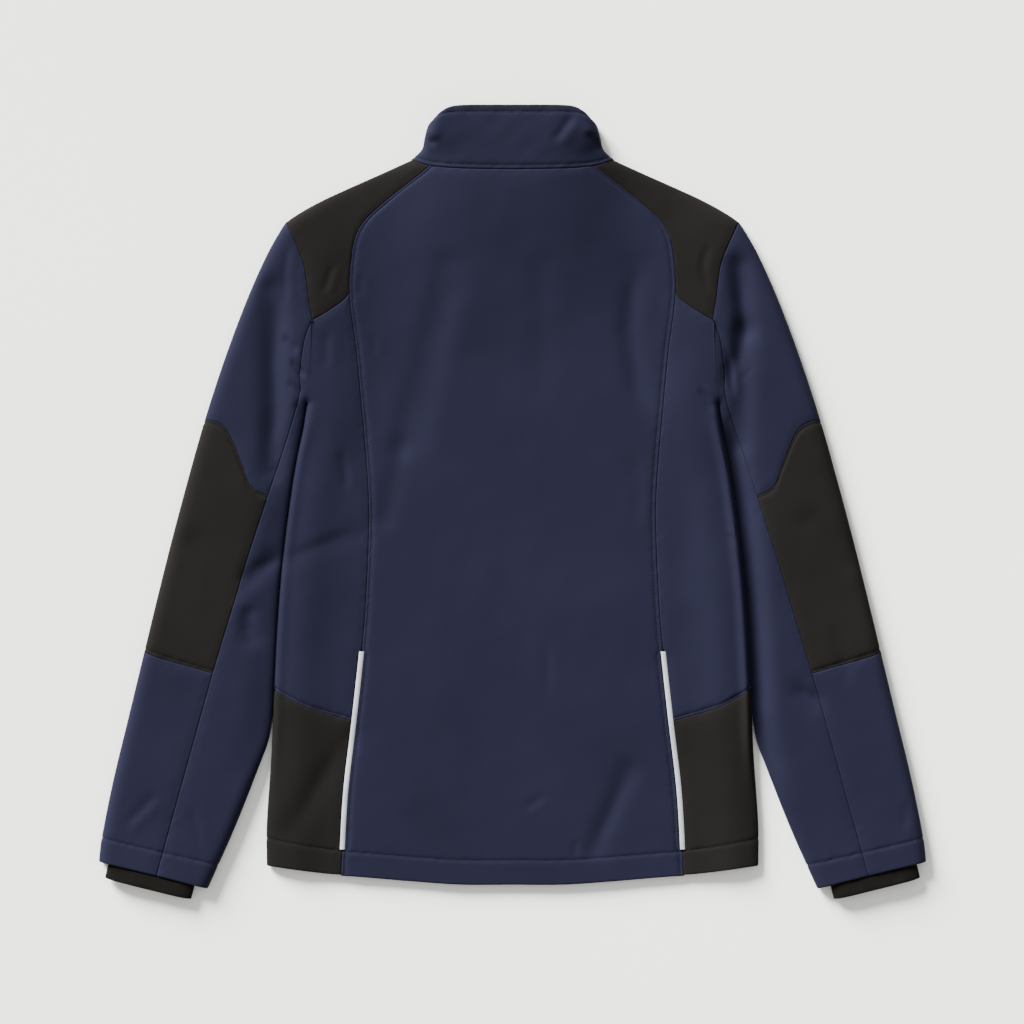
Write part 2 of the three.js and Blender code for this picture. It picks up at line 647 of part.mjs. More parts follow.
// Reflective strip that fills the opened back seam and stands a little proud of it.
function buildPiping(side, name) {
  const inset = piping.taper + piping.endGap;
  const ends = [piping.bottomY + inset, piping.topY - inset];
  const stations = [...lowerStations, ...sideStations].filter((y) => y > ends[0] && y < ends[1]);
  const rows = [ends[0], ...stations, ends[1]].map((y) => [-1, -0.5, 0.5, 1].map((across) => {
    const x = backSeamX(y) + piping.halfWidth * across;
    const point = topPoint(side, [x, y], 'body');
    point.z += Math.abs(across) < 1 ? piping.proud : 0;
    return point;
  })).filter((row, index, all) => index === 0 || row[0].y - all[index - 1][0].y > 1);
  addPiece(`piping_${name}`, wallFromRows(rows, () => clothWall, side), colours.silver);
}

// Lines of the sleeve, each from its shoulder end to its hem end.
const sleeveSeamLine = lineByPoints(sleeveSeam, 800);
const sleeveSeamLength = lengthsAlong(sleeveSeamLine).at(-1);
const elbowTopLine = lineByPoints(elbowTop, seamSteps);
const elbowBottomLine = lineByPoints(elbowBottom, seamSteps);
const seamShareAt = (want) => {
  const gaps = sleeveSeamLine.map(([x, y]) => Math.hypot(x - want.x, y - want.y));
  return gaps.indexOf(Math.min(...gaps)) / (sleeveSeamLine.length - 1);
};
const elbowShares = [seamShareAt(elbowTop[0]), seamShareAt(elbowBottom[0])];
const sleeveHemSlope = (sleeveHem.outer[1] - sleeveHem.inner[1])
  / (sleeveHem.outer[0] - sleeveHem.inner[0]);
const sleeveHemY = (x) => sleeveHem.inner[1] + (Math.abs(x) - sleeveHem.inner[0]) * sleeveHemSlope;
const sleeveWall = hemmedWall(sleeveHemY);

// Rows down the sleeve seam, shared by the pieces on both its sides.
const hemRowShares = [hemTurn, hemTurn + turnStep].map((height) => 1 - height / sleeveSeamLength);
const rowsBetween = (from, to, count, extra = []) => {
  const clearOf = (share) => extra.every((own) => Math.abs(own - share) > turnStep / sleeveSeamLength);
  const even = evenShares(count).map((share) => lerp(from, to, share)).filter(clearOf);
  return [...even, ...extra].sort((one, other) => one - other);
};
const seamRows = {
  upper: rowsBetween(0, elbowShares[0], cells.sleeveUpperRows),
  elbow: rowsBetween(elbowShares[0], elbowShares[1], cells.elbowRows),
  lower: rowsBetween(elbowShares[1], 1, cells.sleeveLowerRows, hemRowShares),
};

const moveLine = (line, move) => line.map(([x, y]) => [x - move, y + move]);

// The outer pieces of the sleeve, each from the back sleeve seam to the outer fold.
function outerSleevePattern() {
  const half = seamGap / 2;
  const armTop = moveLine(lineByY(armholeX, sleeveSeam[0].y, shoulderY, seamSteps), -seamGap);
  const elbowTopY = elbowTop.at(-1).y;
  const elbowBottomY = elbowBottom.at(-1).y;
  const pieces = [
    { name: 'sleeve_upper', rows: seamRows.upper, top: armTop, finish: colours.navy,
      bottom: moveLine(elbowTopLine, half), fromY: shoulderY - 2 * seamGap, toY: elbowTopY + half },
    { name: 'elbow', rows: seamRows.elbow, top: moveLine(elbowTopLine, -half),
      bottom: moveLine(elbowBottomLine, half), fromY: elbowTopY - half, toY: elbowBottomY + half,
      finish: colours.black },
    { name: 'sleeve_lower', rows: seamRows.lower, top: moveLine(elbowBottomLine, -half),
      bottom: [sleeveHem.seam, sleeveHem.outer], fromY: elbowBottomY - half,
      toY: sleeveHem.outer[1], finish: colours.navy },
  ];
  return pieces.map((piece) => {
    const [first, last] = [piece.rows[0], piece.rows.at(-1)];
    const patch = {
      bottom: along(piece.top, 0, 1),
      top: along(piece.bottom, 0, 1),
      left: (up) => {
        const [x, y] = pointAlong(sleeveSeamLine, lerp(first, last, up));
        return [x + half, y];
      },
      right: (up) => {
        const y = lerp(piece.fromY, piece.toY, up);
        return [outerX(y), y];
      },
    };
    return { ...piece, patch, shares: piece.rows.map((row) => (row - first) / (last - first)) };
  });
}

function buildOuterSleeve(side, name) {
  for (const piece of outerSleevePattern()) {
    const columns = cells.sleeveColumns;
    const rows = foldedRows(side, piece.patch, piece.shares, columns, 'sleeve', sleeveLap);
    addPiece(`${piece.name}_${name}`, wallFromRows(rows, sleeveWall, -side), piece.finish);
  }
}

// Under sleeve: from the back sleeve seam round the inner fold, then all of the underside.
function buildUnderSleeve(side, name) {
  const rowShares = [...seamRows.upper, ...seamRows.elbow.slice(1), ...seamRows.lower.slice(1)];
  const half = seamGap / 2;
  const foldPoint = (up) => {
    const y = lerp(underarmY, innerEndY, up);
    return [sleeveInnerX(y), y];
  };
  const outerEnds = outerSleevePattern().flatMap(({ patch, shares }, index) => shares
    .slice(index === 0 ? 0 : 1).map((up) => lapAlongRow(patch, up, underLap + underGap)));
  const outerEnd = (up) => outerEnds[rowShares.indexOf(up)];
  const armDown = lineByY((y) => armholeX(y) + seamGap, sleeveSeam[0].y, underarmY, seamSteps);
  const topPatch = {
    bottom: along(armDown, 0, 1),
    top: along([sleeveHem.seam, sleeveHem.inner], 0, 1),
    left: (up) => {
      const [x, y] = pointAlong(sleeveSeamLine, up);
      return [x - half, y];
    },
    right: foldPoint,
  };
  const underPatch = {
    bottom: along([foldPoint(0), outerEnd(0)], 0, 1),
    top: along([sleeveHem.inner, outerEnd(1)], 0, 1),
    left: foldPoint,
    right: outerEnd,
  };
  const rows = rowShares.map((up) => {
    const topLength = span(topPatch.left(up), topPatch.right(up));
    const onTop = sharesToFold(topLength, cells.tuckColumns).slice(0, -1)
      .map((across) => topPoint(side, patchPoint(topPatch, up, across), 'sleeve'));
    const fold = foldPoint(up);
    const underLength = span(underPatch.left(up), underPatch.right(up));
    const nearFold = underPointShares.map((share) => share * underRound / underLength);
    const shares = [...nearFold, ...evenShares(cells.underColumns).slice(1)];
    const below = shares.map((across) => {
      return underPoint(side, patchPoint(underPatch, up, across), 'sleeve');
    });
    return [...onTop, new THREE.Vector3(side * fold[0], fold[1], foldHeight), ...below];
  });
  addPiece(`sleeve_under_${name}`, wallFromRows(rows, sleeveWall, side), colours.navy);
}

// Stand collar: one wall round the neck whose ends meet the zip underneath.
const collar = {
  topBackY: 397, topFrontY: 366, edgeY: 386, squareness: 9, foldHeight: 5.5, height: 20.5, round: 13,
  backGap: 0.84, frontGap: 0.9, fullShare: 0.625,
  widths: [{ up: 0, half: 101 }, { up: 0.22, half: 91 }, { up: 0.5, half: 88 },
    { up: 0.8, half: 84 }, { up: 1, half: 76 }],
  backSteps: [0, 1.5, 5, 10, 17], frontShares: [0.45, 0.62, 0.75],
};

function buildCollar() {
  const halfAt = (up) => readTable(collar.widths, 'up', 'half', up);
  const neckCorner = frontNeck.endX / collar.widths[0].half;
  const backY = (out, up) => {
    const start = neckY(out * collar.widths[0].half) + collar.backGap;
    return lerp(start, lerp(collar.topBackY, collar.edgeY, out ** collar.squareness), up);
  };
  const frontY = (out, up) => {
    const seamX = out * collar.widths[0].half;
    const start = frontNeckY(seamX) + (seamX > frontNeck.endX ? underGap : collar.frontGap);
    return lerp(start, lerp(collar.topFrontY, collar.edgeY, out ** 2), up);
  };
  const rows = evenShares(cells.collarRows).map((up) => {
    const half = halfAt(up);
    const foldZ = lerp(foldHeight, collar.foldHeight, up);
    const steps = collar.backSteps.map((step) => 1 - step / half);
    const flat = evenShares(cells.collarColumns).slice(1).map((share) => 1 - share);
    const outs = [...steps, ...flat.map((share) => steps.at(-1) * share)];
    const backSide = (sign) => outs.map((out) => {
      const own = lerp(foldZ, collar.height, climb(half * (1 - out), collar.round));
      const seamX = sign * out * collar.widths[0].half;
      const joined = out === 1 ? foldZ : heightAt(seamX, neckY(seamX), 'body');
      const z = lerp(joined, own, smooth(up / collar.fullShare));
      return new THREE.Vector3(sign * out * half, backY(out, up), z);
    });
    const frontSide = (sign) => {
      const start = zipEdge / half;
      const shares = [start, start + facingWidth / half, ...collar.frontShares, neckCorner];
      const near = [...underPointShares].reverse().map((share) => 1 - share * underRound / half);
      return [...shares, ...near].map((out) => {
        const x = out * half;
        const round = foldZ * (1 - climb(half - x, underRound));
        const y = frontY(out, up);
        return new THREE.Vector3(sign * x, y, Math.max(round, liftAt(x, y)));
      });
    };
    return [...frontSide(1), ...backSide(1), ...backSide(-1).reverse().slice(1),
      ...frontSide(-1).reverse()];
  });
  addPiece('collar', wallFromRows(rows, () => collarWall, -1), colours.navy);
}

// Black storm cuff: a flat tube inside the sleeve hem that stands out of it.
const cuff = {
  from: 16, to: 100, inside: 22, outside: 15, low: 3.3, high: 9.6, sides: 20,
  squareness: { wide: 0.5, tall: 0.8 }, corner: { inset: 1, sharpness: 8 },
};

function buildCuff(side, name) {
  const [innerX, innerY] = sleeveHem.inner;
  const length = span(sleeveHem.inner, sleeveHem.outer);
  const hemWay = [(sleeveHem.outer[0] - innerX) / length, (sleeveHem.outer[1] - innerY) / length];
  const away = [hemWay[1], -hemWay[0]];
  const middle = (cuff.from + cuff.to) / 2;
  const half = (cuff.to - cuff.from) / 2;
  const centreZ = (cuff.low + cuff.high) / 2;
  const halfZ = (cuff.high - cuff.low) / 2;
  const squared = (value, power) => Math.sign(value) * Math.abs(value) ** power;
  const ring = (outward, shrink) => Array.from({ length: cuff.sides }, (_, index) => {
    const turn = (index / cuff.sides) * Math.PI * 2;
    const wide = squared(Math.cos(turn), cuff.squareness.wide);
    const tall = squared(Math.sin(turn), cuff.squareness.tall);
    const inset = outward > 0 ? Math.abs(wide) ** cuff.corner.sharpness * cuff.corner.inset : 0;
    const reach = middle + wide * (half - shrink);
    const out = outward - inset;
    return new THREE.Vector3(side * (innerX + hemWay[0] * reach + away[0] * out),
      innerY + hemWay[1] * reach + away[1] * out, centreZ + tall * (halfZ - shrink));
  });
  const rings = [ring(-cuff.inside, 0), ring(0, 0), ring(cuff.outside, 0),
    ring(cuff.outside, cuffWall), ring(0, cuffWall), ring(-cuff.inside, cuffWall)];
  const corners = [];
  rings.forEach((from, spot) => {
    const to = rings[(spot + 1) % rings.length];
    for (let index = 0; index < cuff.sides; index += 1) {
      const next = (index + 1) % cuff.sides;
      const quad = side > 0 ? [from[index], from[next], to[next], to[index]]
        : [from[index], to[index], to[next], from[next]];
      corners.push(quad[0], quad[1], quad[2], quad[0], quad[2], quad[3]);
    }
  });
  addPiece(`cuff_${name}`, geometryFrom(corners), colours.black);
}

// A closed bar along Y: outline(y) gives its corners [x, z] at each station.
function barAlongY(stations, outline) {
  const rings = stations.map((y) => outline(y).map(([x, z]) => new THREE.Vector3(x, y, z)));
  const count = rings[0].length;
  const flatOutline = outline(stations[0]).map(([x, z]) => new THREE.Vector2(x, z));
  const caps = THREE.ShapeUtils.triangulateShape(flatOutline, []);
  const corners = [];
  rings.slice(1).forEach((to, spot) => {
    const from = rings[spot];
    for (let index = 0; index < count; index += 1) {
      const next = (index + 1) % count;
      corners.push(from[index], to[index], to[next], from[index], to[next], from[next]);
    }
  });
  caps.forEach(([a, b, c]) => {
    corners.push(rings[0][a], rings[0][b], rings[0][c]);
    corners.push(rings.at(-1)[a], rings.at(-1)[c], rings.at(-1)[b]);
  });
  return geometryFrom(corners);
}

// Zip: the tape with its closed chain, the slider at the collar's top, and its pull.
const slider = { length: 11, halfWidth: 4.6, plate: 0.7, post: 2.2, clear: 0.3 };
const pull = { length: 26, halfWidth: 3.2, thick: 1.1, bar: 1.2,
  window: { halfWidth: 1.7, long: 3.4 } };
const tapeZ = (y) => collarWall + tapeClear + liftAt(0, y);

function buildZip() {
  const { halfWidth, thick, chainHalf, chainDeep } = tape;
  const outline = (y) => {
    const z = tapeZ(y);
    return [[-halfWidth, z], [-chainHalf, z], [-chainHalf, z - chainDeep],
      [chainHalf, z - chainDeep], [chainHalf, z], [halfWidth, z],
      [halfWidth, z + thick], [-halfWidth, z + thick]];
  };
  const bend = evenShares(cells.zipBends)
    .map((share) => lerp(zipLift.startY, zipLift.fullY, share));
  addPiece('zip_tape', barAlongY([zipBottomY, ...bend, zipTopY], outline), colours.tapeBlack);
}

// A box between two corners, each [x, y, z].
function boxBetween(low, high) {
  const size = high.map((value, axis) => value - low[axis]);
  const middle = high.map((value, axis) => (value + low[axis]) / 2);
  return new THREE.BoxGeometry(...size).translate(...middle);
}

function toManifold(geometry) {
  const plain = geometry.clone();
  plain.deleteAttribute('normal');
  plain.deleteAttribute('uv');
  const merged = mergeVertices(plain);
  const vertProperties = new Float32Array(merged.attributes.position.array);
  const triVerts = new Uint32Array(merged.index.array);
  return new wasm.Manifold(new wasm.Mesh({ numProp: 3, vertProperties, triVerts }));
}

function fromManifold(solid) {
  const mesh = solid.getMesh();
  const geometry = new THREE.BufferGeometry();
  geometry.setAttribute('position', new THREE.Float32BufferAttribute(mesh.vertProperties, 3));
  geometry.setIndex([...mesh.triVerts]);
  const flat = geometry.toNonIndexed();
  flat.computeVertexNormals();
  return flat;
}

// The slider's plates lie on both faces of the chain, joined by a post past its end. A bridge
// stands on the outer plate and holds the pull.
const chainLow = tapeZ(zipTopY) - tape.chainDeep;
const outerPlateZ = chainLow - slider.clear - slider.plate;
const sliderEndY = zipTopY + slider.clear + slider.post;
const sliderStartY = sliderEndY - slider.length;
const bridge = { halfWidth: 1.2, inner: 2.8, bar: 0.7, deep: 2.4 };
const pivot = { y: sliderStartY + slider.length / 2, z: outerPlateZ - bridge.deep / 2 };

function buildSlider() {
  const { halfWidth, plate, clear } = slider;
  const innerPlateZ = tapeZ(zipTopY) + tape.thick + clear;
  const barLow = outerPlateZ - bridge.deep - bridge.bar;
  const [legIn, legOut] = [bridge.inner / 2, bridge.inner / 2 + bridge.bar];
  const sink = 0.05;
  const boxes = [
    boxBetween([-halfWidth, sliderStartY, outerPlateZ], [halfWidth, sliderEndY, outerPlateZ + plate]),
    boxBetween([-halfWidth, sliderStartY, innerPlateZ], [halfWidth, sliderEndY, innerPlateZ + plate]),
    boxBetween([-halfWidth, sliderEndY - slider.post, outerPlateZ],
      [halfWidth, sliderEndY, innerPlateZ + plate]),
    boxBetween([-bridge.halfWidth, pivot.y - legOut, barLow],
      [bridge.halfWidth, pivot.y + legOut, barLow + bridge.bar]),
    ...[-1, 1].map((end) => boxBetween(
      [-bridge.halfWidth, pivot.y + (end < 0 ? -legOut : legIn), barLow],
      [bridge.halfWidth, pivot.y + (end < 0 ? -legIn : legOut), outerPlateZ + sink])),
  ];
  const solid = boxes.map(toManifold).reduce((one, other) => one.add(other));
  addPiece('zip_slider', fromManifold(solid), colours.metal);
}

// Pull tab: its top bar passes through the bridge and its tab hangs along the chain.
function buildPull() {
  const { length, halfWidth, thick, bar, window } = pull;
  const shape = new THREE.Shape();
  const round = halfWidth;
  shape.moveTo(-halfWidth, bar / 2);
  shape.lineTo(-halfWidth, -length + round);
  shape.absarc(0, -length + round, round, Math.PI, Math.PI * 2, false);
  shape.lineTo(halfWidth, bar / 2);
  shape.closePath();
  const hole = new THREE.Path();
  hole.moveTo(-window.halfWidth, -bar / 2);
  hole.lineTo(window.halfWidth, -bar / 2);
  hole.lineTo(window.halfWidth, -bar / 2 - window.long);
  hole.lineTo(-window.halfWidth, -bar / 2 - window.long);
  hole.closePath();
  shape.holes.push(hole);
  const settings = { depth: thick, bevelEnabled: false, curveSegments: 6 };
  const geometry = new THREE.ExtrudeGeometry(shape, settings);
  geometry.translate(0, pivot.y, pivot.z - thick / 2);
  addPiece('zip_pull', geometry, colours.metal);
}

buildCentreBack();
buildCollar();
for (const { side, name } of halves) {
  buildSideBack(side, name);
  buildLowerSide(side, name);
  buildShoulder(side, name);
  buildFront(side, name);
  buildPiping(side, name);
  buildOuterSleeve(side, name);
  buildUnderSleeve(side, name);
  buildCuff(side, name);
}
buildZip();
buildSlider();
buildPull();

// The origin is on the floor, under the middle of the whole jacket.
const whole = new THREE.Box3().setFromObject(group);
group.position.y = -(whole.min.y + whole.max.y) / 2;

export default group;
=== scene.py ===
import math
import bpy
import numpy as np
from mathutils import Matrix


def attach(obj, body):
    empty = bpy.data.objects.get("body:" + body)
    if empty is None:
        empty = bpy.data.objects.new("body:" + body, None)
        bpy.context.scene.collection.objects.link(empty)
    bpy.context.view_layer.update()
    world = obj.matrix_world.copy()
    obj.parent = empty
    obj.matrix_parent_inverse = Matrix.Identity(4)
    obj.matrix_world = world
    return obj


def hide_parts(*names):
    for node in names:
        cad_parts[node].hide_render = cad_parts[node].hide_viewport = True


# A softshell jacket laid flat with its back up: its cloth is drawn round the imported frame.
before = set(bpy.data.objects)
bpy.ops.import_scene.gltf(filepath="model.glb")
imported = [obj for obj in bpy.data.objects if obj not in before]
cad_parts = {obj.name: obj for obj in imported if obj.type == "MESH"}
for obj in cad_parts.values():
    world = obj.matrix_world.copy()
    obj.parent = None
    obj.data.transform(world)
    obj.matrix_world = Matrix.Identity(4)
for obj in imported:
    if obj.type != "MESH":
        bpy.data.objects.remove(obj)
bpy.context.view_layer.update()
print("frame loaded:", len(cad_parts), "nodes")

# Lengths are millimetres until a mesh is made. x is across, y runs to the collar, z is up.
metre = 0.001
tiny = 1e-9  # keeps a length that is divided by above nothing

camera = {"x": -0.5, "y": -10.0, "height": 7000.0, "clothHeight": 10.0, "frameWidth": 1024.0}


def deselect():
    bpy.ops.object.select_all(action="DESELECT")


def linked(name, data):  # a new object in the scene
    made = bpy.data.objects.new(name, data)
    bpy.context.scene.collection.objects.link(made)
    return made


def addCamera():
    data = bpy.data.cameras.new("camera")
    toCloth = camera["height"] - camera["clothHeight"]
    data.angle = 2 * math.atan(camera["frameWidth"] / 2 / toCloth)
    seen = linked("camera", data)
    seen.location = (camera["x"] * metre, camera["y"] * metre, camera["height"] * metre)
    bpy.context.scene.camera = seen


deselect()
addCamera()
print("camera set")

# Cloth: the wall, the folds at the silhouette and the height of the upper layer
cloth = {"wall": 1.15, "gap": 0.3, "touch": 0.02, "reach": 0.32, "underGap": 0.6, "step": 3.0,
         "underStep": 8.0, "backColumns": 108, "shadeAngle": 38.0, "armReach": 0.3}
fold = {"height": 4.5, "round": 15.0, "tightness": 2.8, "under": 6.0, "lap": 9.0, "yokeLap": 16.0,
        "lapColumns": 3, "fewestColumns": 4, "mostOfWidth": 0.45}
bodyRise = {"height": 7.6, "ridge": 3.4, "ridgeInset": 26.0, "ridgeReach": 24.0}
sleeveRise = {"height": 13.5, "armhole": 13.0, "armholeReach": 75.0}
valley = {"left": {"deep": 3.0, "half": 18.0, "rim": 1.6}, "right": {"deep": 9.8, "half": 12.0, "rim": 4.8},
          "at": 5.0, "fromY": 110.0, "fullY": 50.0, "lastY": -300.0, "endReach": 80.0, "rimAt": 4.0,
          "rimHalf": 5.0}
neckRise = {"rise": 12.0, "halfWidth": 95.0, "startY": 130.0, "fullY": 335.0, "squareness": 4}
hem = {"turn": 24.0, "radius": 1.25, "angles": (-90, -60, -30, 0, 30, 60)}
drape = ({"height": 0.26, "size": 90, "seed": 3}, {"height": 0.08, "size": 30, "seed": 4})
foldFall = 1.6  # how steeply a trough's sides rise
creaseShape = {"reach": 3.5, "fade": 0.3, "swellAt": 1.7, "swellHalf": 1.2}
waves = {"count": 9, "stretch": (0.7, 1.7), "share": 3.0}
upright = {"from": 0.2, "over": 0.5}  # how far up the cloth faces where it counts as the top
zipEdge = 6.3
frontFacing = {"width": 22.0, "ramp": 3.0, "thick": 3.15}
zipTape = {"low": 3.75, "thick": 0.7, "half": 14.0, "bottomY": -372.0, "topY": 356.0}
zipLift = {"rise": 6.0, "halfWidth": 62.0, "startY": 200.0, "fullY": 316.0, "flatShare": 0.15}

# Seam and edge lines of one half, named by what they follow. x is out from the centre back.
outerEdge = {
    "y": (342, 326, 314, 302, 290, 280, 272, 247, 202, 142, 82, 22, -38, -98, -158, -218, -278, -338, -360),
    "x": (101, 136.5, 163.5, 189.5, 211.5, 226, 232, 246, 266, 288.5, 308, 325, 341, 356, 370.5, 385,
          399.5, 411.5, 414)}
bodySide = {
    "y": (98, 74, 46, 18, -38, -98, -188, -248, -323, -366),
    "x": (206, 209.5, 215.5, 220.5, 228, 234, 239, 241, 246, 246)}
sleeveInner = {
    "y": (98, 74, 46, 18, -38, -98, -188, -218, -240, -263, -308, -338, -368, -387),
    "x": (206, 209.5, 215.5, 220.5, 228, 234, 239, 240.5, 244.5, 253, 270.5, 283, 296.5, 305)}
armhole = {
    "y": (280, 266, 250, 234, 202, 182, 132, 98),
    "x": (226, 219.5, 212.5, 207.5, 203.5, 200.5, 202, 206)}
backSeam = {
    "y": (336, 330, 314, 298, 282, 266, 242, 209, 147, 27, -20, -105, -146, -219, -292, -374),
    "x": (83.5, 90, 111, 130.5, 147.5, 157, 161.5, 163, 155.5, 145, 143.5, 147, 150.5, 158.5, 167, 171.5)}
neckSeam = {"x": (0, 50, 83.5, 101), "y": (332, 333, 336, 342)}
hemEdge = {"x": (0, 50, 90, 150, 190, 246), "y": (-382, -382, -379.5, -374.5, -371.5, -364)}
shoulderLower = {"x": (163, 169, 180, 192, 200.5), "y": (209, 202, 194, 186.5, 182)}
lowerPanelTop = {"x": (158.5, 191, 211, 239), "y": (-219, -210, -203, -188)}
sleeveSeam = {
    "x": (200.5, 208, 212.5, 215, 244.5, 263.5, 280.5, 299.5, 328, 356),
    "y": (182, 162, 130, 98, 6, -52, -108, -171, -273, -374)}
elbowTop = {
    "x": (244.5, 254.5, 263, 268, 273.5, 279, 287, 298, 308),
    "y": (6, 10, 18, 32, 46, 60, 74, 80.5, 82)}
elbowBottom = {"x": (299.5, 332, 356.5, 368.5), "y": (-171, -162, -155, -150)}
sleeveHem = {"inner": (305, -387), "seam": (356, -374), "outer": (414, -360)}
frontArmholeTop = {"x": 221.4, "y": 270.6}
frontNeck = {"centreY": 286.0, "endX": 85.0, "bend": 1.7}
piping = {"topY": -147.0, "bottomY": -350.0, "halfWidth": 2.5, "taper": 5.0, "inset": 2.5, "proud": 0.7,
          "sunk": 0.5, "rows": 60, "across": (-1, -0.9, -0.7, -0.4, 0, 0.4, 0.7, 0.9, 1)}

# Largest folds: half width, depth and the two points that the trough runs between
folds = (
    (17, 1.5, (-66, 238), (-111, 55)),
    (14, 1.3, (-111, 55), (-127, -16)),
    (15, 0.5, (120, 238), (121, 116)),
    (15, 0.5, (29, 238), (29, 116)),
    (14, 1.6, (116, -269), (82, -345)),
    (13, 0.8, (-226, -58), (-158, -34)),
    (16, 3.0, (-243, 212), (-241, 32)),
    (13, 2.4, (-262, -76), (-242, -58)),
    (14, 2.2, (-264, -114), (-262, -134)),
    (14, 3.0, (227, 236), (233, 172)),
    (14, 3.4, (233, 172), (228, 60)),
    (15, 1.8, (288, -190), (300, -198)),
    (18, 1.4, (-162, -238), (-222, -328)),
    (16, 1.5, (300, -20), (336, -60)),
    (16, 1.5, (-318, -40), (-280, -92)),
)

# Finer creases: half width, depth, how far the cloth beside it swells, and the path's points
creases = (
    (6, 0.45, 0.4, (116, -269), (100, -306), (80, -350)),
    (4, 0.5, 0.4, (34, -292), (24, -299), (10, -308)),
    (3.5, 0.6, 0.4, (64, -336), (63, -349), (61, -358)),
    (5, 0.4, 0.4, (-226, -58), (-196, -44), (-157, -28)),
    (6, 0.5, 0.3, (34, -133), (35, -160), (34, -198)),
    (11, 0.7, 0.4, (-37, 272), (-66, 190), (-88, 82), (-103, 2)),
    (4, 0.6, 0.3, (-153, 230), (-152, 204)),
    (4, 0.5, 0.3, (-139, 170), (-138, 146)),
    (5, 0.6, 0.4, (-186, 174), (-187, 130)),
    (3.5, 0.9, 0.6, (-179, 240), (-183, 226), (-190, 206)),
    (10, 2.9, 0.1, (-231, 244), (-234, 190), (-237, 140), (-236, 95), (-241, 50), (-248, 15)),
    (4, 0.6, 0.6, (-224, 262), (-228, 226), (-226, 190)),
    (3.5, 1.9, 0.2, (-230, 168), (-222, 157), (-213, 149)),
    (3, 1.7, 0.2, (-223, 143), (-215, 134), (-206, 124)),
    (2.8, 1.5, 0.2, (-226, 121), (-217, 114), (-209, 106)),
    (2.5, 1.3, 0.2, (-219, 100), (-212, 91), (-208, 82)),
    (4.5, 0.5, 0.5, (-264, -68), (-246, -62), (-230, -55)),
    (7, 0.8, 0.4, (-262, -102), (-266, -118), (-264, -136)),
    (5, 0.6, 0.7, (-352, -288), (-372, -308), (-391, -327)),
    (5, 0.5, 0.5, (-322, -304), (-316, -326), (-310, -348)),
    (8, 0.4, 0.5, (-162, -228), (-192, -276), (-222, -330)),
    (9, 3.4, 0.0, (220, 262), (228, 215), (231, 182), (226, 152), (216, 124), (208, 92)),
    (4, 1.1, 0.15, (200, 262), (192, 246), (190, 232), (194, 218), (201, 206)),
    (10, 1.7, 0.4, (133, 252), (119, 208), (115, 170), (124, 120), (137, 72)),
    (3, 0.7, 0.4, (214, -32), (221, -36), (227, -43)),
    (5, 0.8, 0.4, (-174, 54), (-168, 34), (-166, 8)),
    (3.5, 1.3, 0.5, (208, 166), (216, 140), (222, 100)),
    (3.5, 1.1, 0.4, (184, 114), (193, 105), (201, 88)),
    (3, 0.4, 0.3, (243, 138), (233, 126), (222, 118)),
    (5, 0.7, 0.4, (286, -186), (296, -193), (306, -197)),
    (5, 0.6, 0.4, (392, -296), (394, -312), (391, -330)),
    (7, 0.6, 0.4, (318, -120), (330, -150), (336, -190)),
    (8, 0.5, 0.4, (120, 60), (126, 10), (118, -40)),
    (3.5, 2.7, 0.3, (-90, 369), (-83, 361), (-75, 357)),
    (4, 3.6, 0.3, (74, 371), (83, 360), (90, 349)),
    (4.5, 1.5, 0.25, (63, 389), (56, 380), (48, 369), (39, 358)),
)


def lerp(start, end, share):
    return start + (end - start) * share


def smooth(value):
    value = np.clip(value, 0.0, 1.0)
    return value * value * (3.0 - 2.0 * value)


def climb(distance, reach, tightness=2.0):  # from 0 at a fold to 1 at its reach
    left = 1.0 - np.clip(distance / reach, 0.0, 1.0)
    return (1.0 - left ** tightness) ** (1.0 / tightness)


def readTable(table, by, want, value):  # a smooth curve through the table's rows
    order = np.argsort(table[by])
    at = np.array(table[by], float)[order]
    of = np.array(table[want], float)[order]
    slope = np.gradient(of)
    slope[1:-1] = (of[2:] - of[:-2]) / (at[2:] - at[:-2])
    slope[0] = (of[1] - of[0]) / (at[1] - at[0])
    slope[-1] = (of[-1] - of[-2]) / (at[-1] - at[-2])
    value = np.asarray(value, float)
    low = np.clip(np.searchsorted(at, value) - 1, 0, len(at) - 2)
    width = at[low + 1] - at[low]
    share = np.clip((value - at[low]) / width, 0.0, 1.0)
    bendIn, bendOut = slope[low] * width, slope[low + 1] * width
    climbed = of[low + 1] - of[low]
    curve = 3 * climbed - 2 * bendIn - bendOut
    twist = bendIn + bendOut - 2 * climbed
    return of[low] + bendIn * share + curve * share ** 2 + twist * share ** 3


def outerX(y):
    return readTable(outerEdge, "y", "x", y)


def bodySideX(y):
    return readTable(bodySide, "y", "x", y) - cloth["touch"]


def sleeveInnerX(y):
    return readTable(sleeveInner, "y", "x", y) + cloth["touch"]


def armholeX(y):
    return readTable(armhole, "y", "x", y)


def backSeamX(y):
    return readTable(backSeam, "y", "x", y)


def neckY(x):
    return readTable(neckSeam, "x", "y", np.abs(x))


def hemY(x):
    return readTable(hemEdge, "x", "y", np.abs(x))


def frontNeckY(out):
    share = np.clip(out / frontNeck["endX"], 0.0, 1.0)
    inside = lerp(frontNeck["centreY"], neckY(frontNeck["endX"]), share ** frontNeck["bend"])
    return np.where(out > frontNeck["endX"], neckY(out), inside)


def frontArmholeX(y):
    lowX, lowY = armhole["x"][-1], armhole["y"][-1]
    return lerp(lowX, frontArmholeTop["x"], (y - lowY) / (frontArmholeTop["y"] - lowY))


def lineByY(xAt, fromY, toY, steps=140):
    y = np.linspace(fromY, toY, steps + 1)
    return np.stack([xAt(y), y], axis=-1)


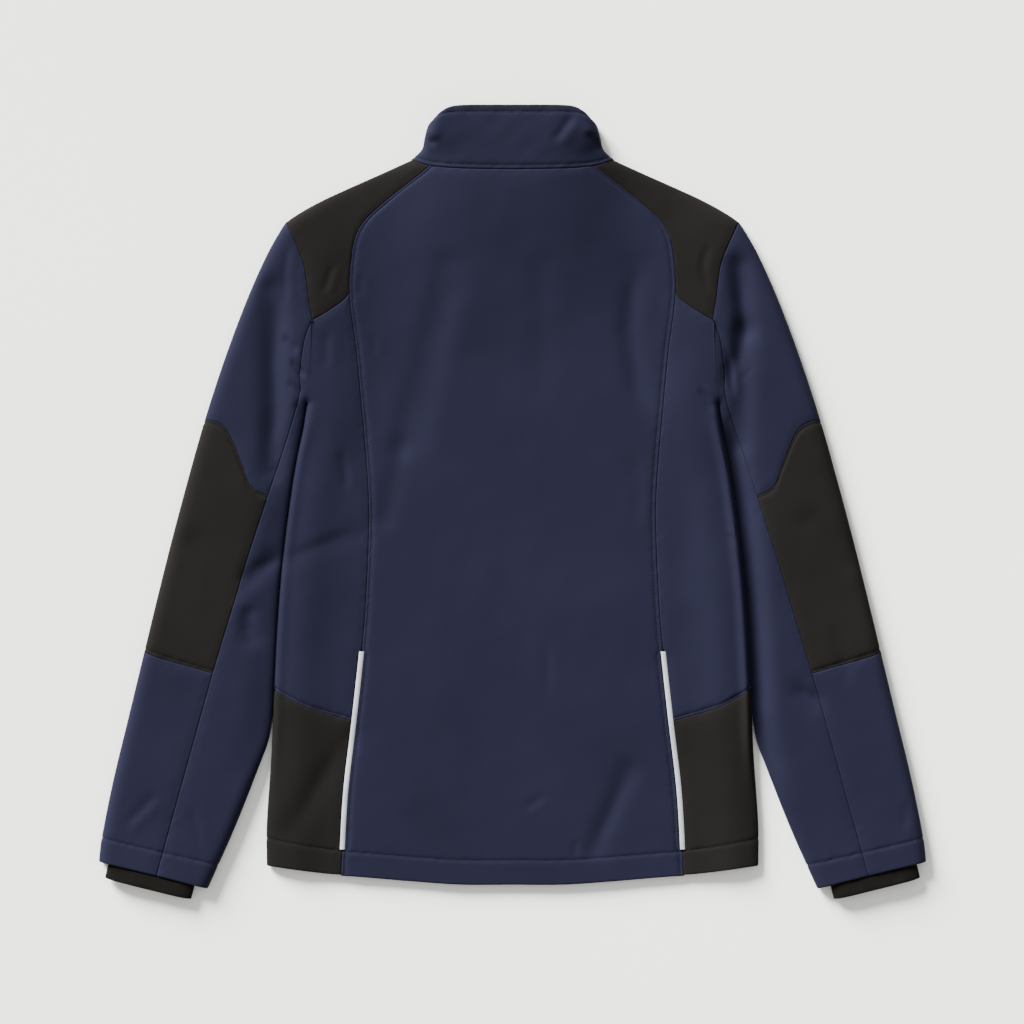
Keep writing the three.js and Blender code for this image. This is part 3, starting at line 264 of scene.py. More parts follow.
def lengthsAlong(line):
    steps = np.linalg.norm(np.diff(line, axis=0), axis=1)
    return np.concatenate([[0.0], np.cumsum(steps)])


def pointAlong(line, share):
    lengths = lengthsAlong(line)
    wanted = np.clip(share, 0.0, 1.0) * lengths[-1]
    return np.stack([np.interp(wanted, lengths, column) for column in line.T], axis=-1)


curveSteps = 40


def lineByPoints(table, steps=60):  # a smooth line through a table's points, evenly spaced
    points = np.stack([table["x"], table["y"]], axis=-1).astype(float)
    ends = np.vstack([points[:1], points, points[-1:]])
    walk = np.linspace(0, len(points) - 1, curveSteps * (len(points) - 1) + 1)
    low = np.minimum(walk.astype(int), len(points) - 2)
    share = (walk - low)[:, None]
    before, start, end, after = ends[low], ends[low + 1], ends[low + 2], ends[low + 3]
    pullIn, pullOut = (end - before) / 2, (after - start) / 2
    curve = -3 * start + 3 * end - 2 * pullIn - pullOut
    twist = 2 * start - 2 * end + pullIn + pullOut
    fine = start + pullIn * share + curve * share ** 2 + twist * share ** 3
    return pointAlong(fine, np.linspace(0, 1, steps + 1))


def offSegment(start, end, x, y):  # the share of the way to the nearest spot, and the gap to it
    way = end - start
    share = np.clip(((x - start[0]) * way[0] + (y - start[1]) * way[1]) / (way @ way), 0, 1)
    return share, x - start[0] - way[0] * share, y - start[1] - way[1] * share


def distanceTo(line, x, y):
    nearest = np.full(np.shape(x), np.inf)
    for start, end in zip(line[:-1], line[1:]):
        nearest = np.minimum(nearest, np.hypot(*offSegment(start, end, x, y)[1:]))
    return nearest


underarmY = armhole["y"][-1]
shoulderY = armhole["y"][0]
innerEndY = sleeveInner["y"][-1]
outerLine = lineByY(outerX, outerEdge["y"][0], outerEdge["y"][-1] - hem["turn"])
bodyLine = lineByY(bodySideX, underarmY, bodySide["y"][-1] - hem["turn"])
sleeveLine = lineByY(sleeveInnerX, underarmY, innerEndY)
armholeLine = lineByY(armholeX, shoulderY, underarmY)


def foldDepth(x, y):
    depth = np.zeros(np.shape(x))
    for half, deep, *ends in folds:
        gap = distanceTo(np.array(ends, float), x, y) / half
        depth += deep * np.exp(-foldFall * gap ** 2)
    return depth


def creaseLift(x, y):  # fine creases, fading out at both ends
    lift = np.zeros(np.shape(x))
    for half, deep, swell, *points in creases:
        path = np.array(points, float)
        reach = half * creaseShape["reach"]
        near = ((x > path[:, 0].min() - reach) & (x < path[:, 0].max() + reach)
                & (y > path[:, 1].min() - reach) & (y < path[:, 1].max() + reach))
        if not near.any():
            continue
        px, py = x[near], y[near]
        lengths = lengthsAlong(path)
        best = np.full(px.shape, np.inf)
        side, along = np.zeros(px.shape), np.zeros(px.shape)
        for index, (start, end) in enumerate(zip(path[:-1], path[1:])):
            share, gapX, gapY = offSegment(start, end, px, py)
            gap, way = np.hypot(gapX, gapY), end - start
            closer = gap < best
            best = np.where(closer, gap, best)
            side = np.where(closer, np.sign(way[0] * gapY - way[1] * gapX), side)
            passed = lerp(lengths[index], lengths[index + 1], share) / lengths[-1]
            along = np.where(closer, passed, along)
        fade = smooth(along / creaseShape["fade"]) * smooth((1 - along) / creaseShape["fade"])
        gap = best * side / half
        swollen = np.exp(-((gap - creaseShape["swellAt"]) / creaseShape["swellHalf"]) ** 2)
        lift[near] += deep * fade * (swell * swollen - np.exp(-gap ** 2))
    return lift


def ripple(x, y, size, seed):  # a soft irregular wave over the cloth, about 1 high
    draw = np.random.default_rng(seed)
    turns = draw.uniform(0, 2 * math.pi, waves["count"])
    stretches = draw.uniform(*waves["stretch"], waves["count"])
    phases = draw.uniform(0, 2 * math.pi, waves["count"])
    total = np.zeros(np.shape(x))
    for turn, stretch, phase in zip(turns, stretches, phases):
        pitch = 2 * math.pi / (size * stretch)
        total += np.sin((x * math.cos(turn) + y * math.sin(turn)) * pitch + phase)
    return total / waves["share"]


def valleyLift(x, y, zone, toInner):  # the sleeve sinks beside the body, and the body's edge stands up
    share = smooth((valley["fromY"] - y) / (valley["fromY"] - valley["fullY"]))
    share = share * smooth((y - valley["lastY"]) / valley["endReach"])
    right, left = valley["right"], valley["left"]
    deep, half, rim = (np.where(x > 0, right[name], left[name]) for name in ("deep", "half", "rim"))
    if zone == "body":
        return rim * share * np.exp(-((toInner - valley["rimAt"]) / valley["rimHalf"]) ** 2)
    return -deep * share * np.exp(-((toInner - valley["at"]) / half) ** 2)


def upperHeight(x, y, zone, toFold=np.inf):
    out = np.abs(x)
    toOuter = distanceTo(outerLine, out, y)
    toInner = distanceTo(bodyLine if zone == "body" else sleeveLine, out, y)
    neckShare = smooth((y - neckRise["startY"]) / (neckRise["fullY"] - neckRise["startY"]))
    neck = neckRise["rise"] * neckShare * np.exp(-(x / neckRise["halfWidth"]) ** neckRise["squareness"])
    ridgeGap = (toInner - bodyRise["ridgeInset"]) / bodyRise["ridgeReach"]
    ridge = bodyRise["ridge"] * np.exp(-ridgeGap ** 2)
    own = bodyRise["height"] + ridge + neck if zone == "body" else sleeveRise["height"]
    nearArm = smooth(distanceTo(armholeLine, out, y) / sleeveRise["armholeReach"])
    crown = lerp(sleeveRise["armhole"], own, nearArm)
    tight = fold["tightness"]
    full = climb(toOuter, fold["round"], tight) * climb(toInner, fold["round"], tight)
    full = np.minimum(full, climb(toFold, fold["round"], tight))
    uneven = sum(wave["height"] * ripple(x, y, wave["size"], wave["seed"]) for wave in drape)
    relief = crown - fold["height"] - foldDepth(x, y) + creaseLift(x, y) + uneven
    return fold["height"] + (relief + valleyLift(x, y, zone, toInner)) * full


def underHeight(x, y, zone, toFold=np.inf):
    toOuter = distanceTo(outerLine, np.abs(x), y)
    toInner = distanceTo(bodyLine if zone == "body" else sleeveLine, np.abs(x), y)
    nearest = np.minimum(np.minimum(toOuter, toInner), toFold)
    return fold["height"] * (1 - climb(nearest, fold["under"]))


def liftAt(x, y):
    up = smooth((y - zipLift["startY"]) / (zipLift["fullY"] - zipLift["startY"]))
    return zipLift["rise"] * up * smooth(1 + zipLift["flatShare"] - np.abs(x) / zipLift["halfWidth"])


def patchPoints(patch, up, across):  # up has a value for each row, across one for each point
    rise = up[:, None, None]
    bottom, top = patch["bottom"](across), patch["top"](across)
    left, right = patch["left"](up)[:, None], patch["right"](up)[:, None]
    lowLeft, lowRight = patch["bottom"](np.zeros(1)), patch["bottom"](np.ones(1))
    highLeft, highRight = patch["top"](np.zeros(1)), patch["top"](np.ones(1))
    leftPull = left - lerp(lowLeft, highLeft, rise)
    rightPull = right - lerp(lowRight, highRight, rise)
    return lerp(bottom, top, rise) + lerp(leftPull, rightPull, across[..., None])


# Where rows and columns lie: close together beside a seam, at a fold and at a hem
edgeSteps = np.array([0, 0.35, 0.8, 1.4, 2.2, 3.2, 4.6, 6.5, 9.0])
foldSteps = np.array([1, 0.8, 0.62, 0.46, 0.33, 0.22, 0.135, 0.075, 0.035, 0.012, 0.002, 0])
underSteps = np.array([0.01, 0.05, 0.13, 0.25, 0.42, 0.66, 1])
hemSteps = np.array([0, 2.6, 4, 7, 11, 15, 19, 21.5, 23, 24, 25, 26.5, 29, 33.0])
plainSteps = np.array([0.0])
stitchIndex = 5  # the edge step that a topstitch follows
closeIndex = 4  # one that lies closer to its seam
hemIndex = 9  # the hem step that the hem's stitches follow


def sharesOf(length, starts, ends, step=cloth["step"]):
    low, high = starts[-1], length - ends[-1]
    inner = np.linspace(low, high, max(3, int((high - low) / step)))[1:-1]
    return np.concatenate([starts, inner, length - ends[::-1]]) / length


def sharesPast(length, corner, ends):  # rows that meet a corner on the way, and the corner's row
    before = sharesOf(length * corner, edgeSteps, plainSteps) * corner
    after = sharesOf(length * (1 - corner), plainSteps, ends)
    return np.concatenate([before, lerp(corner, 1, after)[1:]]), len(before) - 1


def joined(x, y):
    return np.stack(np.broadcast_arrays(np.asarray(x, float), np.asarray(y, float)), axis=-1)


def onLine(line):  # an edge of a patch that follows a line from end to end
    return lambda share: pointAlong(line, share)


def raised(spots, side, heightAt):  # the points of one half, lifted to their height
    x, y = side * spots[..., 0], spots[..., 1]
    return np.stack([x, y, heightAt(x, y)], axis=-1)


def allCells(rows):
    return np.ones((rows.shape[0] - 1, rows.shape[1] - 1), bool)


def foldedGrid(side, patch, up, zone, lapWidth, straight, folded=True):
    left, right = patch["left"](up), patch["right"](up)
    length = np.linalg.norm(right - left, axis=1)[:, None]
    most = fold["mostOfWidth"]
    start = edgeSteps * np.minimum(1.0, most * length / edgeSteps[-1]) / length
    endRound = np.minimum(fold["round"] / length, most)
    count = max(fold["fewestColumns"], int(length.max() / cloth["step"]))
    middle = lerp(start[:, -1:], 1 - endRound, np.linspace(0, 1, count)[1:-1])
    across = np.hstack([start, middle, 1 - endRound * foldSteps])
    toFold = np.where(np.reshape(folded, (-1, 1)), (1 - across) * length, np.inf)
    upper = raised(patchPoints(patch, up, across), side, lambda x, y: upperHeight(x, y, zone, toFold))
    lap = np.linspace(fold["under"], lapWidth, fold["lapColumns"])[1:]
    steps = np.concatenate([underSteps * fold["under"], lap])
    if straight:
        spots = np.stack([right[:, :1] - steps, np.repeat(right[:, 1:], len(steps), axis=1)], axis=-1)
    else:
        spots = patchPoints(patch, up, 1 - steps / length)
    lower = raised(spots, side, lambda x, y: underHeight(x, y, zone, steps))
    return np.concatenate([upper, lower], axis=1), upper.shape[1] - 1


def gridNormals(rows, facing):
    up = np.gradient(rows, axis=0)
    across = np.gradient(rows, axis=1)
    normals = np.cross(across, up) * facing
    return normals / np.maximum(np.linalg.norm(normals, axis=-1, keepdims=True), tiny)


def arcFrom(rows, axis, index):  # length along each row or column from a given one
    steps = np.linalg.norm(np.diff(rows, axis=axis), axis=-1)
    start = np.zeros_like(np.take(steps, [0], axis=axis))
    lengths = np.concatenate([start, np.cumsum(steps, axis=axis)], axis=axis)
    return np.abs(lengths - np.take(lengths, [index], axis=axis))


seam = {"drop": 0.8, "round": 1.4, "soft": 0.5, "softHalf": 5.0, "pucker": 0.08, "wave": 11, "seed": 8,
        "waveReach": 9.0}
stitching = {"deep": 0.6, "half": 1.2, "pucker": 0.11, "reach": 7.0, "wave": 9.0, "seed": 6,
             "length": 2.7, "pitch": 3.8, "width": 0.6, "height": 0.4, "proud": 0.12, "shadeAngle": 60.0,
             "sides": 6, "rings": 4}
seamRows = {"navy": [], "black": []}  # paths of the topstitches by thread


def sinkSeams(rows, facing, edges):  # the cloth is drawn down softly towards a seam
    normals = gridNormals(rows, facing)
    sink = np.zeros(rows.shape[:2])
    for axis, index in edges:
        gap = arcFrom(rows, axis, index)
        wave = ripple(rows[..., 0], rows[..., 1], seam["wave"], seam["seed"])
        soft = seam["soft"] * np.exp(-(gap / seam["softHalf"]) ** 2)
        sink = np.maximum(sink, soft + seam["pucker"] * wave * np.exp(-gap / seam["waveReach"]))
    return rows - normals * (sink * onTop(normals))[..., None]


def pressStitch(rows, facing, axis, index, thread, span=slice(None)):
    # axis 1 follows a column and axis 0 a row
    normals = gridNormals(rows, facing)
    gap = arcFrom(rows, axis, index)
    wave = ripple(rows[..., 0], rows[..., 1], stitching["wave"], stitching["seed"])
    deep = stitching["deep"] * np.exp(-(gap / stitching["half"]) ** 2)
    deep = deep + stitching["pucker"] * wave * np.exp(-gap / stitching["reach"])
    pressed = rows - normals * deep[..., None]
    path = pressed[span, index] if axis == 1 else pressed[index, span]
    ways = normals[span, index] if axis == 1 else normals[index, span]
    seamRows[thread].append((path, ways))
    return pressed


def turnHem(rows, facing, outward, band):  # the cloth turned in at row 0, up to the band's row
    normals = gridNormals(rows, facing)
    radius = hem["radius"]
    rows = rows.copy()
    rows[0] = rows[0] - outward * radius
    arc = [rows[0] + outward * radius * math.cos(turn) - normals[0] * radius * (1 - math.sin(turn))
           for turn in np.radians(hem["angles"])]
    inside = rows[1:band + 1] - normals[1:band + 1] * 2 * radius
    return np.concatenate([inside[::-1][::2], np.array(arc), rows], axis=0)


def onTop(normals):  # 1 where the cloth faces up, 0 at a fold and underneath
    return smooth((normals[..., 2] - upright["from"]) / upright["over"])


def rollAt(rows, edges):  # how far a seam's edge rolls under
    roll = np.zeros(rows.shape[:2])
    for axis, index in edges:
        roll = np.maximum(roll, seam["drop"] * (1 - climb(arcFrom(rows, axis, index), seam["round"])))
    return roll


def newPiece(name, points, faces):  # points are in millimetres
    mesh = bpy.data.meshes.new(name)
    mesh.from_pydata((points * metre).tolist(), [], faces)
    return linked(name, mesh)


def clothMesh(name, outer, inner, facing, cells):  # a closed wall, with rims where cells end
    count = outer.shape[0] * outer.shape[1]
    index = np.arange(count).reshape(outer.shape[:2])
    a, b, c, d = index[:-1, :-1], index[:-1, 1:], index[1:, 1:], index[1:, :-1]
    around = np.pad(cells, 1)
    rims = (
        (cells & ~around[:-2, 1:-1], a, b), (cells & ~around[2:, 1:-1], c, d),
        (cells & ~around[1:-1, :-2], d, a), (cells & ~around[1:-1, 2:], b, c))
    quads = [np.stack([a, b, c, d], axis=-1)[cells], np.stack([a, d, c, b], axis=-1)[cells] + count]
    for atRim, first, second in rims:
        quads.append(np.stack([first, first + count, second + count, second], axis=-1)[atRim])
    quads = np.concatenate(quads)
    if facing < 0:
        quads = quads[:, ::-1]
    points = np.concatenate([outer.reshape(-1, 3), inner.reshape(-1, 3)])
    u = outer[:, :1, 0] + arcFrom(outer, 1, 0)
    flat = np.stack([u, outer[..., 1]], axis=-1).reshape(-1, 2) * metre
    flat = np.concatenate([flat, flat])
    used, quads = np.unique(quads, return_inverse=True)
    quads = quads.reshape(-1, 4)
    piece = newPiece(name, points[used], quads.tolist())
    layer = piece.data.uv_layers.new(name="weave")
    layer.data.foreach_set("uv", flat[used][quads.ravel()].ravel())
    return piece


def shadeByAngle(piece, degrees=cloth["shadeAngle"]):
    deselect()
    piece.select_set(True)
    bpy.context.view_layer.objects.active = piece
    bpy.ops.object.shade_smooth_by_angle(angle=math.radians(degrees))
    piece.select_set(False)


sheets = []  # each piece with the kind of its cut and what it rests on
trims = []
groove = {"from": -0.6, "over": 0.4, "extra": 0.7}


def reachOut(rows, normals, edges):  # a seam's edge goes on into its groove and meets its neighbour's
    rows = rows.copy()
    for axis, index in edges:
        lines, ways = np.swapaxes(rows, 0, axis), np.swapaxes(normals, 0, axis)
        away = lines[index] - lines[index + (-1 if index else 1)]
        away[:, 2] = 0
        away /= np.maximum(np.linalg.norm(away, axis=1, keepdims=True), tiny)
        share = smooth((ways[index][:, 2] - groove["from"]) / groove["over"])
        share = share * (1 + groove["extra"] * (1 - onTop(ways[index])))
        lines[index] += away * cloth["reach"] * share[:, None]
    return rows


def clothPiece(node, rows, facing, finish, edges, rests, cells=None, wall=cloth["wall"],
               armRows=slice(0, 0), armColumn=0, armReach=cloth["armReach"]):
    # edges are the seams of the piece, and the arm rows close its gap to the next piece at the armhole
    normals = gridNormals(rows, facing)
    rolled = rollAt(rows, edges) * onTop(normals)
    outer = reachOut(rows - normals * rolled[..., None], normals, edges)
    inner = reachOut(rows - normals * np.broadcast_to(wall, rows.shape[:2])[..., None], normals, edges)
    for layer in (outer, inner):
        layer[..., 2] = np.maximum(layer[..., 2], 0)  # nothing goes below the floor
        layer[armRows, armColumn, 0] += np.sign(layer[armRows, armColumn, 0]) * armReach
    piece = clothMesh("cloth_" + node, outer, inner, facing, allCells(rows) if cells is None else cells)
    piece.data.materials.append(finishes[finish])
    shadeByAngle(piece)
    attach(piece, "jacket")
    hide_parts(node)
    if finish != "silver":
        sheets.append((piece, node.replace("_left", "").replace("_right", ""), rests))
    return piece


class Wire:  # a shader socket that does its sums with Math nodes
    def __init__(self, finish, socket):
        self.finish, self.socket = finish, socket

    def maths(self, operation, first, second):
        return self.finish.node("ShaderNodeMath", {"operation": operation}, {0: first, 1: second})

    def __add__(self, other):
        return self.maths("ADD", self, other)

    def __mul__(self, other):
        return self.maths("MULTIPLY", self, other)

    __radd__ = __add__
    __rmul__ = __mul__


class Finish:  # a material and its nodes
    def __init__(self, name, settings):
        self.material = bpy.data.materials.new(name)
        self.material.use_nodes = True
        self.tree = self.material.node_tree
        self.shader = self.tree.nodes["Principled BSDF"]
        for socket, value in settings.items():
            self.shader.inputs[socket].default_value = value

    def node(self, kind, settings, inputs, output=0):
        made = self.tree.nodes.new(kind)
        for name, value in settings.items():
            setattr(made, name, value)
        for name, value in inputs.items():
            if isinstance(value, Wire):
                self.tree.links.new(value.socket, made.inputs[name])
            else:
                made.inputs[name].default_value = value
        return Wire(self, made.outputs[output])

    def ramp(self, factor, stops):
        stops = tuple(stops)
        made = self.tree.nodes.new("ShaderNodeValToRGB")
        while len(made.color_ramp.elements) < len(stops):
            made.color_ramp.elements.new(0.5)
        for element, (place, colour) in zip(made.color_ramp.elements, stops):
            element.position, element.color = place, (*colour, 1)
        self.tree.links.new(factor.socket, made.inputs["Fac"])
        return Wire(self, made.outputs["Color"])

    def feed(self, socket, wire):
        self.tree.links.new(wire.socket, self.shader.inputs[socket])

    def bump(self, height, strength, distance):
        inputs = {"Height": height, "Strength": strength, "Distance": distance}
        self.feed("Normal", self.node("ShaderNodeBump", {}, inputs))

    def noise(self, scale, detail):  # in the piece's own metres
        place = self.node("ShaderNodeTexCoord", {}, {}, "Object")
        return self.node("ShaderNodeTexNoise", {}, {"Vector": place, "Scale": scale, "Detail": detail}, "Fac")

    def beads(self, scale):
        place = self.node("ShaderNodeTexCoord", {}, {}, "Object")
        return self.node("ShaderNodeTexVoronoi", {}, {"Vector": place, "Scale": scale}, "Distance")


weaveLook = {"turns": 20, "cloudy": (7.0, 3.0), "cloudyShare": 0.7, "fibre": (900.0, 2.0), "fibreShare": 0.3,
             "stops": (0.32, 0.68), "bent": 0.6, "threadTall": 0.7, "fibreTall": 0.5, "deep": 0.0004,
             "roughSpread": 0.2, "sheenRough": 0.45}  # a Wave node turns by 20 radians over one unit


def clothFinish(name, look):
    finish = Finish(name, {"Roughness": look["rough"], "Specular IOR Level": look["gloss"],
                           "Sheen Weight": look["sheen"], "Sheen Roughness": weaveLook["sheenRough"],
                           "Sheen Tint": (*look["sheenTint"], 1)})
    weave = finish.node("ShaderNodeUVMap", {"uv_map": "weave"}, {})
    cloudy, fibre = finish.noise(*weaveLook["cloudy"]), finish.noise(*weaveLook["fibre"])
    shade = cloudy * weaveLook["cloudyShare"] + fibre * weaveLook["fibreShare"]
    finish.feed("Base Color", finish.ramp(shade, zip(weaveLook["stops"], (look["dark"], look["light"]))))
    inputs = {"Vector": weave, "Scale": 2 * math.pi / weaveLook["turns"] / (look["pitch"] * metre),
              "Distortion": weaveLook["bent"], "Detail": 1.0, "Detail Scale": 2.0}
    warp, weft = (finish.node("ShaderNodeTexWave", {"bands_direction": way, "wave_profile": "SIN"},
                              inputs, "Fac") for way in ("X", "Y"))
    relief = warp * weft * weaveLook["threadTall"] + fibre * weaveLook["fibreTall"]
    finish.bump(relief, look["bump"], weaveLook["deep"])
    spread = weaveLook["roughSpread"]
    finish.feed("Roughness", fibre * spread + (look["rough"] - spread / 2))
    return finish.material


looks = {
    "navy": {"rough": 0.8, "gloss": 0.06, "sheen": 0.015, "sheenTint": (0.55, 0.62, 1.0), "pitch": 0.7,
             "dark": (0.0048, 0.0048, 0.0124), "light": (0.0064, 0.0064, 0.0156), "bump": 0.25},
    "black": {"rough": 0.9, "gloss": 0.05, "sheen": 0.012, "sheenTint": (1.0, 0.95, 0.85), "pitch": 0.8,
              "dark": (0.0046, 0.0041, 0.0036), "light": (0.0064, 0.0057, 0.0052), "bump": 0.4},
    "tape": {"rough": 0.75, "gloss": 0.1, "sheen": 0.015, "sheenTint": (0.8, 0.8, 1.0), "pitch": 0.9,
             "dark": (0.004, 0.004, 0.005), "light": (0.006, 0.006, 0.008), "bump": 0.6},
    "cuff": {"rough": 0.92, "gloss": 0.05, "sheen": 0.012, "sheenTint": (1.0, 0.95, 0.85), "pitch": 1.6,
             "dark": (0.0028, 0.0025, 0.0021), "light": (0.0044, 0.0039, 0.0032), "bump": 0.8},
}
finishes = {name: clothFinish(name + "_cloth", look) for name, look in looks.items()}


plainLooks = {
    "silver": {"name": "silver_piping", "noise": (60.0, 3.0), "beads": 1600.0, "bump": (0.2, 0.0002),
               "settings": {"Roughness": 0.42, "Metallic": 0.25, "Specular IOR Level": 0.5},
               "tones": ((0.35, (0.26, 0.275, 0.29)), (0.65, (0.32, 0.335, 0.35))), "rough": (0.2, 0.34)},
    "metal": {"name": "dark_metal", "noise": (700.0, 3.0), "bump": (0.08, 0.0001),
              "settings": {"Roughness": 0.35, "Metallic": 0.85},
              "tones": ((0.3, (0.020, 0.021, 0.024)), (0.7, (0.034, 0.035, 0.039))), "rough": (0.2, 0.28)},
    "floor": {"name": "pale_floor", "noise": (1.5, 2.0),
              "settings": {"Roughness": 0.95, "Specular IOR Level": 0.15},
              "tones": ((0.3, (0.80, 0.80, 0.77)), (0.7, (0.83, 0.83, 0.80)))},
}
threadLook = {"noise": (1500.0, 1.0), "bump": (0.4, 0.0002), "darker": 0.75, "stops": (0.35, 0.65),
              "settings": {"Roughness": 0.85, "Specular IOR Level": 0.12}}
threadColours = {"thread_navy": (0.0130, 0.0136, 0.0285), "thread_black": (0.0082, 0.0074, 0.0068)}


def plainFinish(look):
    finish = Finish(look["name"], look["settings"])
    grain = finish.noise(*look["noise"])
    finish.feed("Base Color", finish.ramp(grain, look["tones"]))
    if "rough" in look:
        spread, least = look["rough"]
        finish.feed("Roughness", grain * spread + least)
    relief = finish.beads(look["beads"]) if "beads" in look else grain
    if "bump" in look:
        finish.bump(relief, *look["bump"])
    return finish.material


for name, colour in threadColours.items():
    dark = tuple(threadLook["darker"] * value for value in colour)
    plainLooks[name] = {**threadLook, "name": name, "tones": tuple(zip(threadLook["stops"], (dark, colour)))}
finishes.update({name: plainFinish(look) for name, look in plainLooks.items()})
print("materials made")


downwards = np.array([0, -1, 0.0])


def seamHalfGap(y):
    inRange = np.minimum(piping["topY"] - y, y - piping["bottomY"]) / piping["taper"]
    half = cloth["gap"] / 2
    return half + (piping["halfWidth"] + half) * np.clip(inRange, 0.0, 1.0)


corners = {"hem": backSeam["y"][-1], "lower": lowerPanelTop["y"][0], "shoulder": shoulderLower["y"][0],
           "neck": backSeam["y"][0]}


def seamLine(side, fromY, toY):  # an edge along the back seam, on the centre's or the outer side
    def at(share):
        y = lerp(fromY, toY, share)
        return joined(backSeamX(y) + side * seamHalfGap(y), y)
    return at


def centreBack():
    def half(y):
        return backSeamX(y) - seamHalfGap(y)

    def ending(corner, yAt):  # the hem or the neck edge
        def at(across):
            x = lerp(-1, 1, across) * half(corners[corner])
            return joined(x, yAt(x))
        return at

    def left(up):
        y = lerp(corners["hem"], corners["neck"], up)
        return joined(-half(y), y)

    def right(up):
        return left(up) * (-1, 1)

    patch = {"bottom": ending("hem", hemY), "top": ending("neck", neckY), "left": left, "right": right}
    length = corners["neck"] - corners["hem"]
    up = sharesOf(length, hemSteps, edgeSteps)
    width = np.linalg.norm(right(up) - left(up), axis=1)[:, None]
    start = edgeSteps / width
    middle = lerp(start[:, -1:], 1 - start[:, -1:], np.linspace(0, 1, cloth["backColumns"])[1:-1])
    across = np.hstack([start, middle, 1 - start[:, ::-1]])
    rows = raised(patchPoints(patch, up, across), 1, lambda x, y: upperHeight(x, y, "body"))
    edges = [(1, 0), (1, -1), (0, -1)]
    rows = sinkSeams(rows, 1, edges)
    stitched = slice(hemIndex, int(np.searchsorted(up, (corners["shoulder"] - corners["hem"]) / length)))
    rows = pressStitch(rows, 1, 1, stitchIndex, "navy", stitched)
    rows = pressStitch(rows, 1, 1, -1 - stitchIndex, "navy", stitched)
    rows = pressStitch(rows, 1, 0, hemIndex, "navy")
    rows = turnHem(rows, 1, downwards, hemIndex)
    clothPiece("back_centre", rows, 1, "navy", edges, ["front_left", "front_right"])


def sidePieces(side, name):
    lowerLine, shoulderLine = lineByPoints(lowerPanelTop), lineByPoints(shoulderLower)
    gap = cloth["gap"]
    sideStartY = lowerPanelTop["y"][-1] + gap
    armholeTopY = shoulderLower["y"][-1] - gap

    def shifted(line, move):
        def at(across):
            point = pointAlong(line, across)
            x = point[..., 0] + seamHalfGap(point[..., 1]) * (1 - across) - gap * across
            return joined(x, point[..., 1] + move)
        return at

    length = corners["shoulder"] - corners["lower"]
    toUnderarm = (underarmY - corners["lower"]) / length
    up, underarmRow = sharesPast(length, toUnderarm, edgeSteps)

    def right(share):
        lowY = lerp(sideStartY, underarmY, share / toUnderarm)
        highY = lerp(underarmY, armholeTopY, (share - toUnderarm) / (1 - toUnderarm))
        low = joined(bodySideX(lowY), lowY)
        high = joined(armholeX(highY) - gap / 2, highY)
        return np.where((share <= toUnderarm)[..., None], low, high)

    patch = {"bottom": shifted(lowerLine, gap), "top": shifted(shoulderLine, -gap),
             "left": seamLine(1, corners["lower"] + gap, corners["shoulder"] - gap), "right": right}
    folded = np.arange(len(up)) <= underarmRow
    rows, foldColumn = foldedGrid(side, patch, up, "body", fold["lap"], True, folded)
    cells = allCells(rows)
    cells[underarmRow:, foldColumn:] = False
    edges = [(1, 0), (0, 0), (0, -1)]
    rows = sinkSeams(rows, side, edges)
    rows = pressStitch(rows, side, 0, closeIndex, "navy", slice(stitchIndex, foldColumn))
    clothPiece("back_side_" + name, rows, side, "navy", edges, ["front_" + name], cells,
               armRows=slice(underarmRow + 1, None), armColumn=foldColumn)

    def bottom(across):
        x = lerp(backSeamX(corners["hem"]) + gap / 2, bodySideX(hemEdge["y"][-1]), across)
        return joined(x, hemY(x))

    def outward(share):
        y = lerp(hemEdge["y"][-1], lowerPanelTop["y"][-1], share)
        return joined(bodySideX(y), y)

    hemCornerY = float(hemY(backSeamX(corners["hem"])))
    patch = {"bottom": bottom, "top": shifted(lowerLine, 0),
             "left": seamLine(1, hemCornerY, corners["lower"]), "right": outward}
    up = sharesOf(corners["lower"] - hemCornerY, hemSteps, edgeSteps)
    rows, foldColumn = foldedGrid(side, patch, up, "body", fold["lap"], True)
    edges = [(1, 0), (0, -1)]
    rows = sinkSeams(rows, side, edges)
    rows = pressStitch(rows, side, 0, hemIndex, "black", slice(2, foldColumn))
    rows = turnHem(rows, side, downwards, hemIndex)
    clothPiece("lower_side_" + name, rows, side, "black", edges, ["front_" + name])


def shoulderPatch():
    neckX = backSeamX(corners["neck"]) + cloth["gap"] / 2
    inner = lineByY(lambda y: backSeamX(y) + cloth["gap"] / 2, corners["neck"], corners["shoulder"])
    neckSide = np.vstack([inner, lineByPoints(shoulderLower)[1:]])
    corner = lengthsAlong(neckSide)[len(inner) - 1] / lengthsAlong(neckSide)[-1]
    foldLine = lineByY(outerX, outerEdge["y"][0], shoulderY)
    armLine = lineByY(lambda y: armholeX(y) - cloth["gap"] / 2, shoulderLower["y"][-1], shoulderY)

    def bottom(across):
        x = lerp(neckX, outerEdge["x"][0], across)
        return joined(x, neckY(x))

    patch = {"bottom": bottom, "top": onLine(armLine), "left": onLine(neckSide), "right": onLine(foldLine)}
    return patch, corner, lengthsAlong(neckSide)[-1]


shoulderTip = {"before": 11, "past": 4, "reach": 0.8}


def shoulder(side, name):
    patch, corner, length = shoulderPatch()
    up = sharesPast(length, corner, edgeSteps)[0]
    rows, foldColumn = foldedGrid(side, patch, up, "body", fold["yokeLap"], False)
    edges = [(1, 0), (0, 0), (0, -1)]
    rows = sinkSeams(rows, -side, edges)
    tip = slice(foldColumn - shoulderTip["before"], foldColumn + shoulderTip["past"])
    clothPiece("shoulder_" + name, rows, -side, "black", edges, ["front_" + name],
               armRows=slice(-1, None), armColumn=tip, armReach=shoulderTip["reach"])


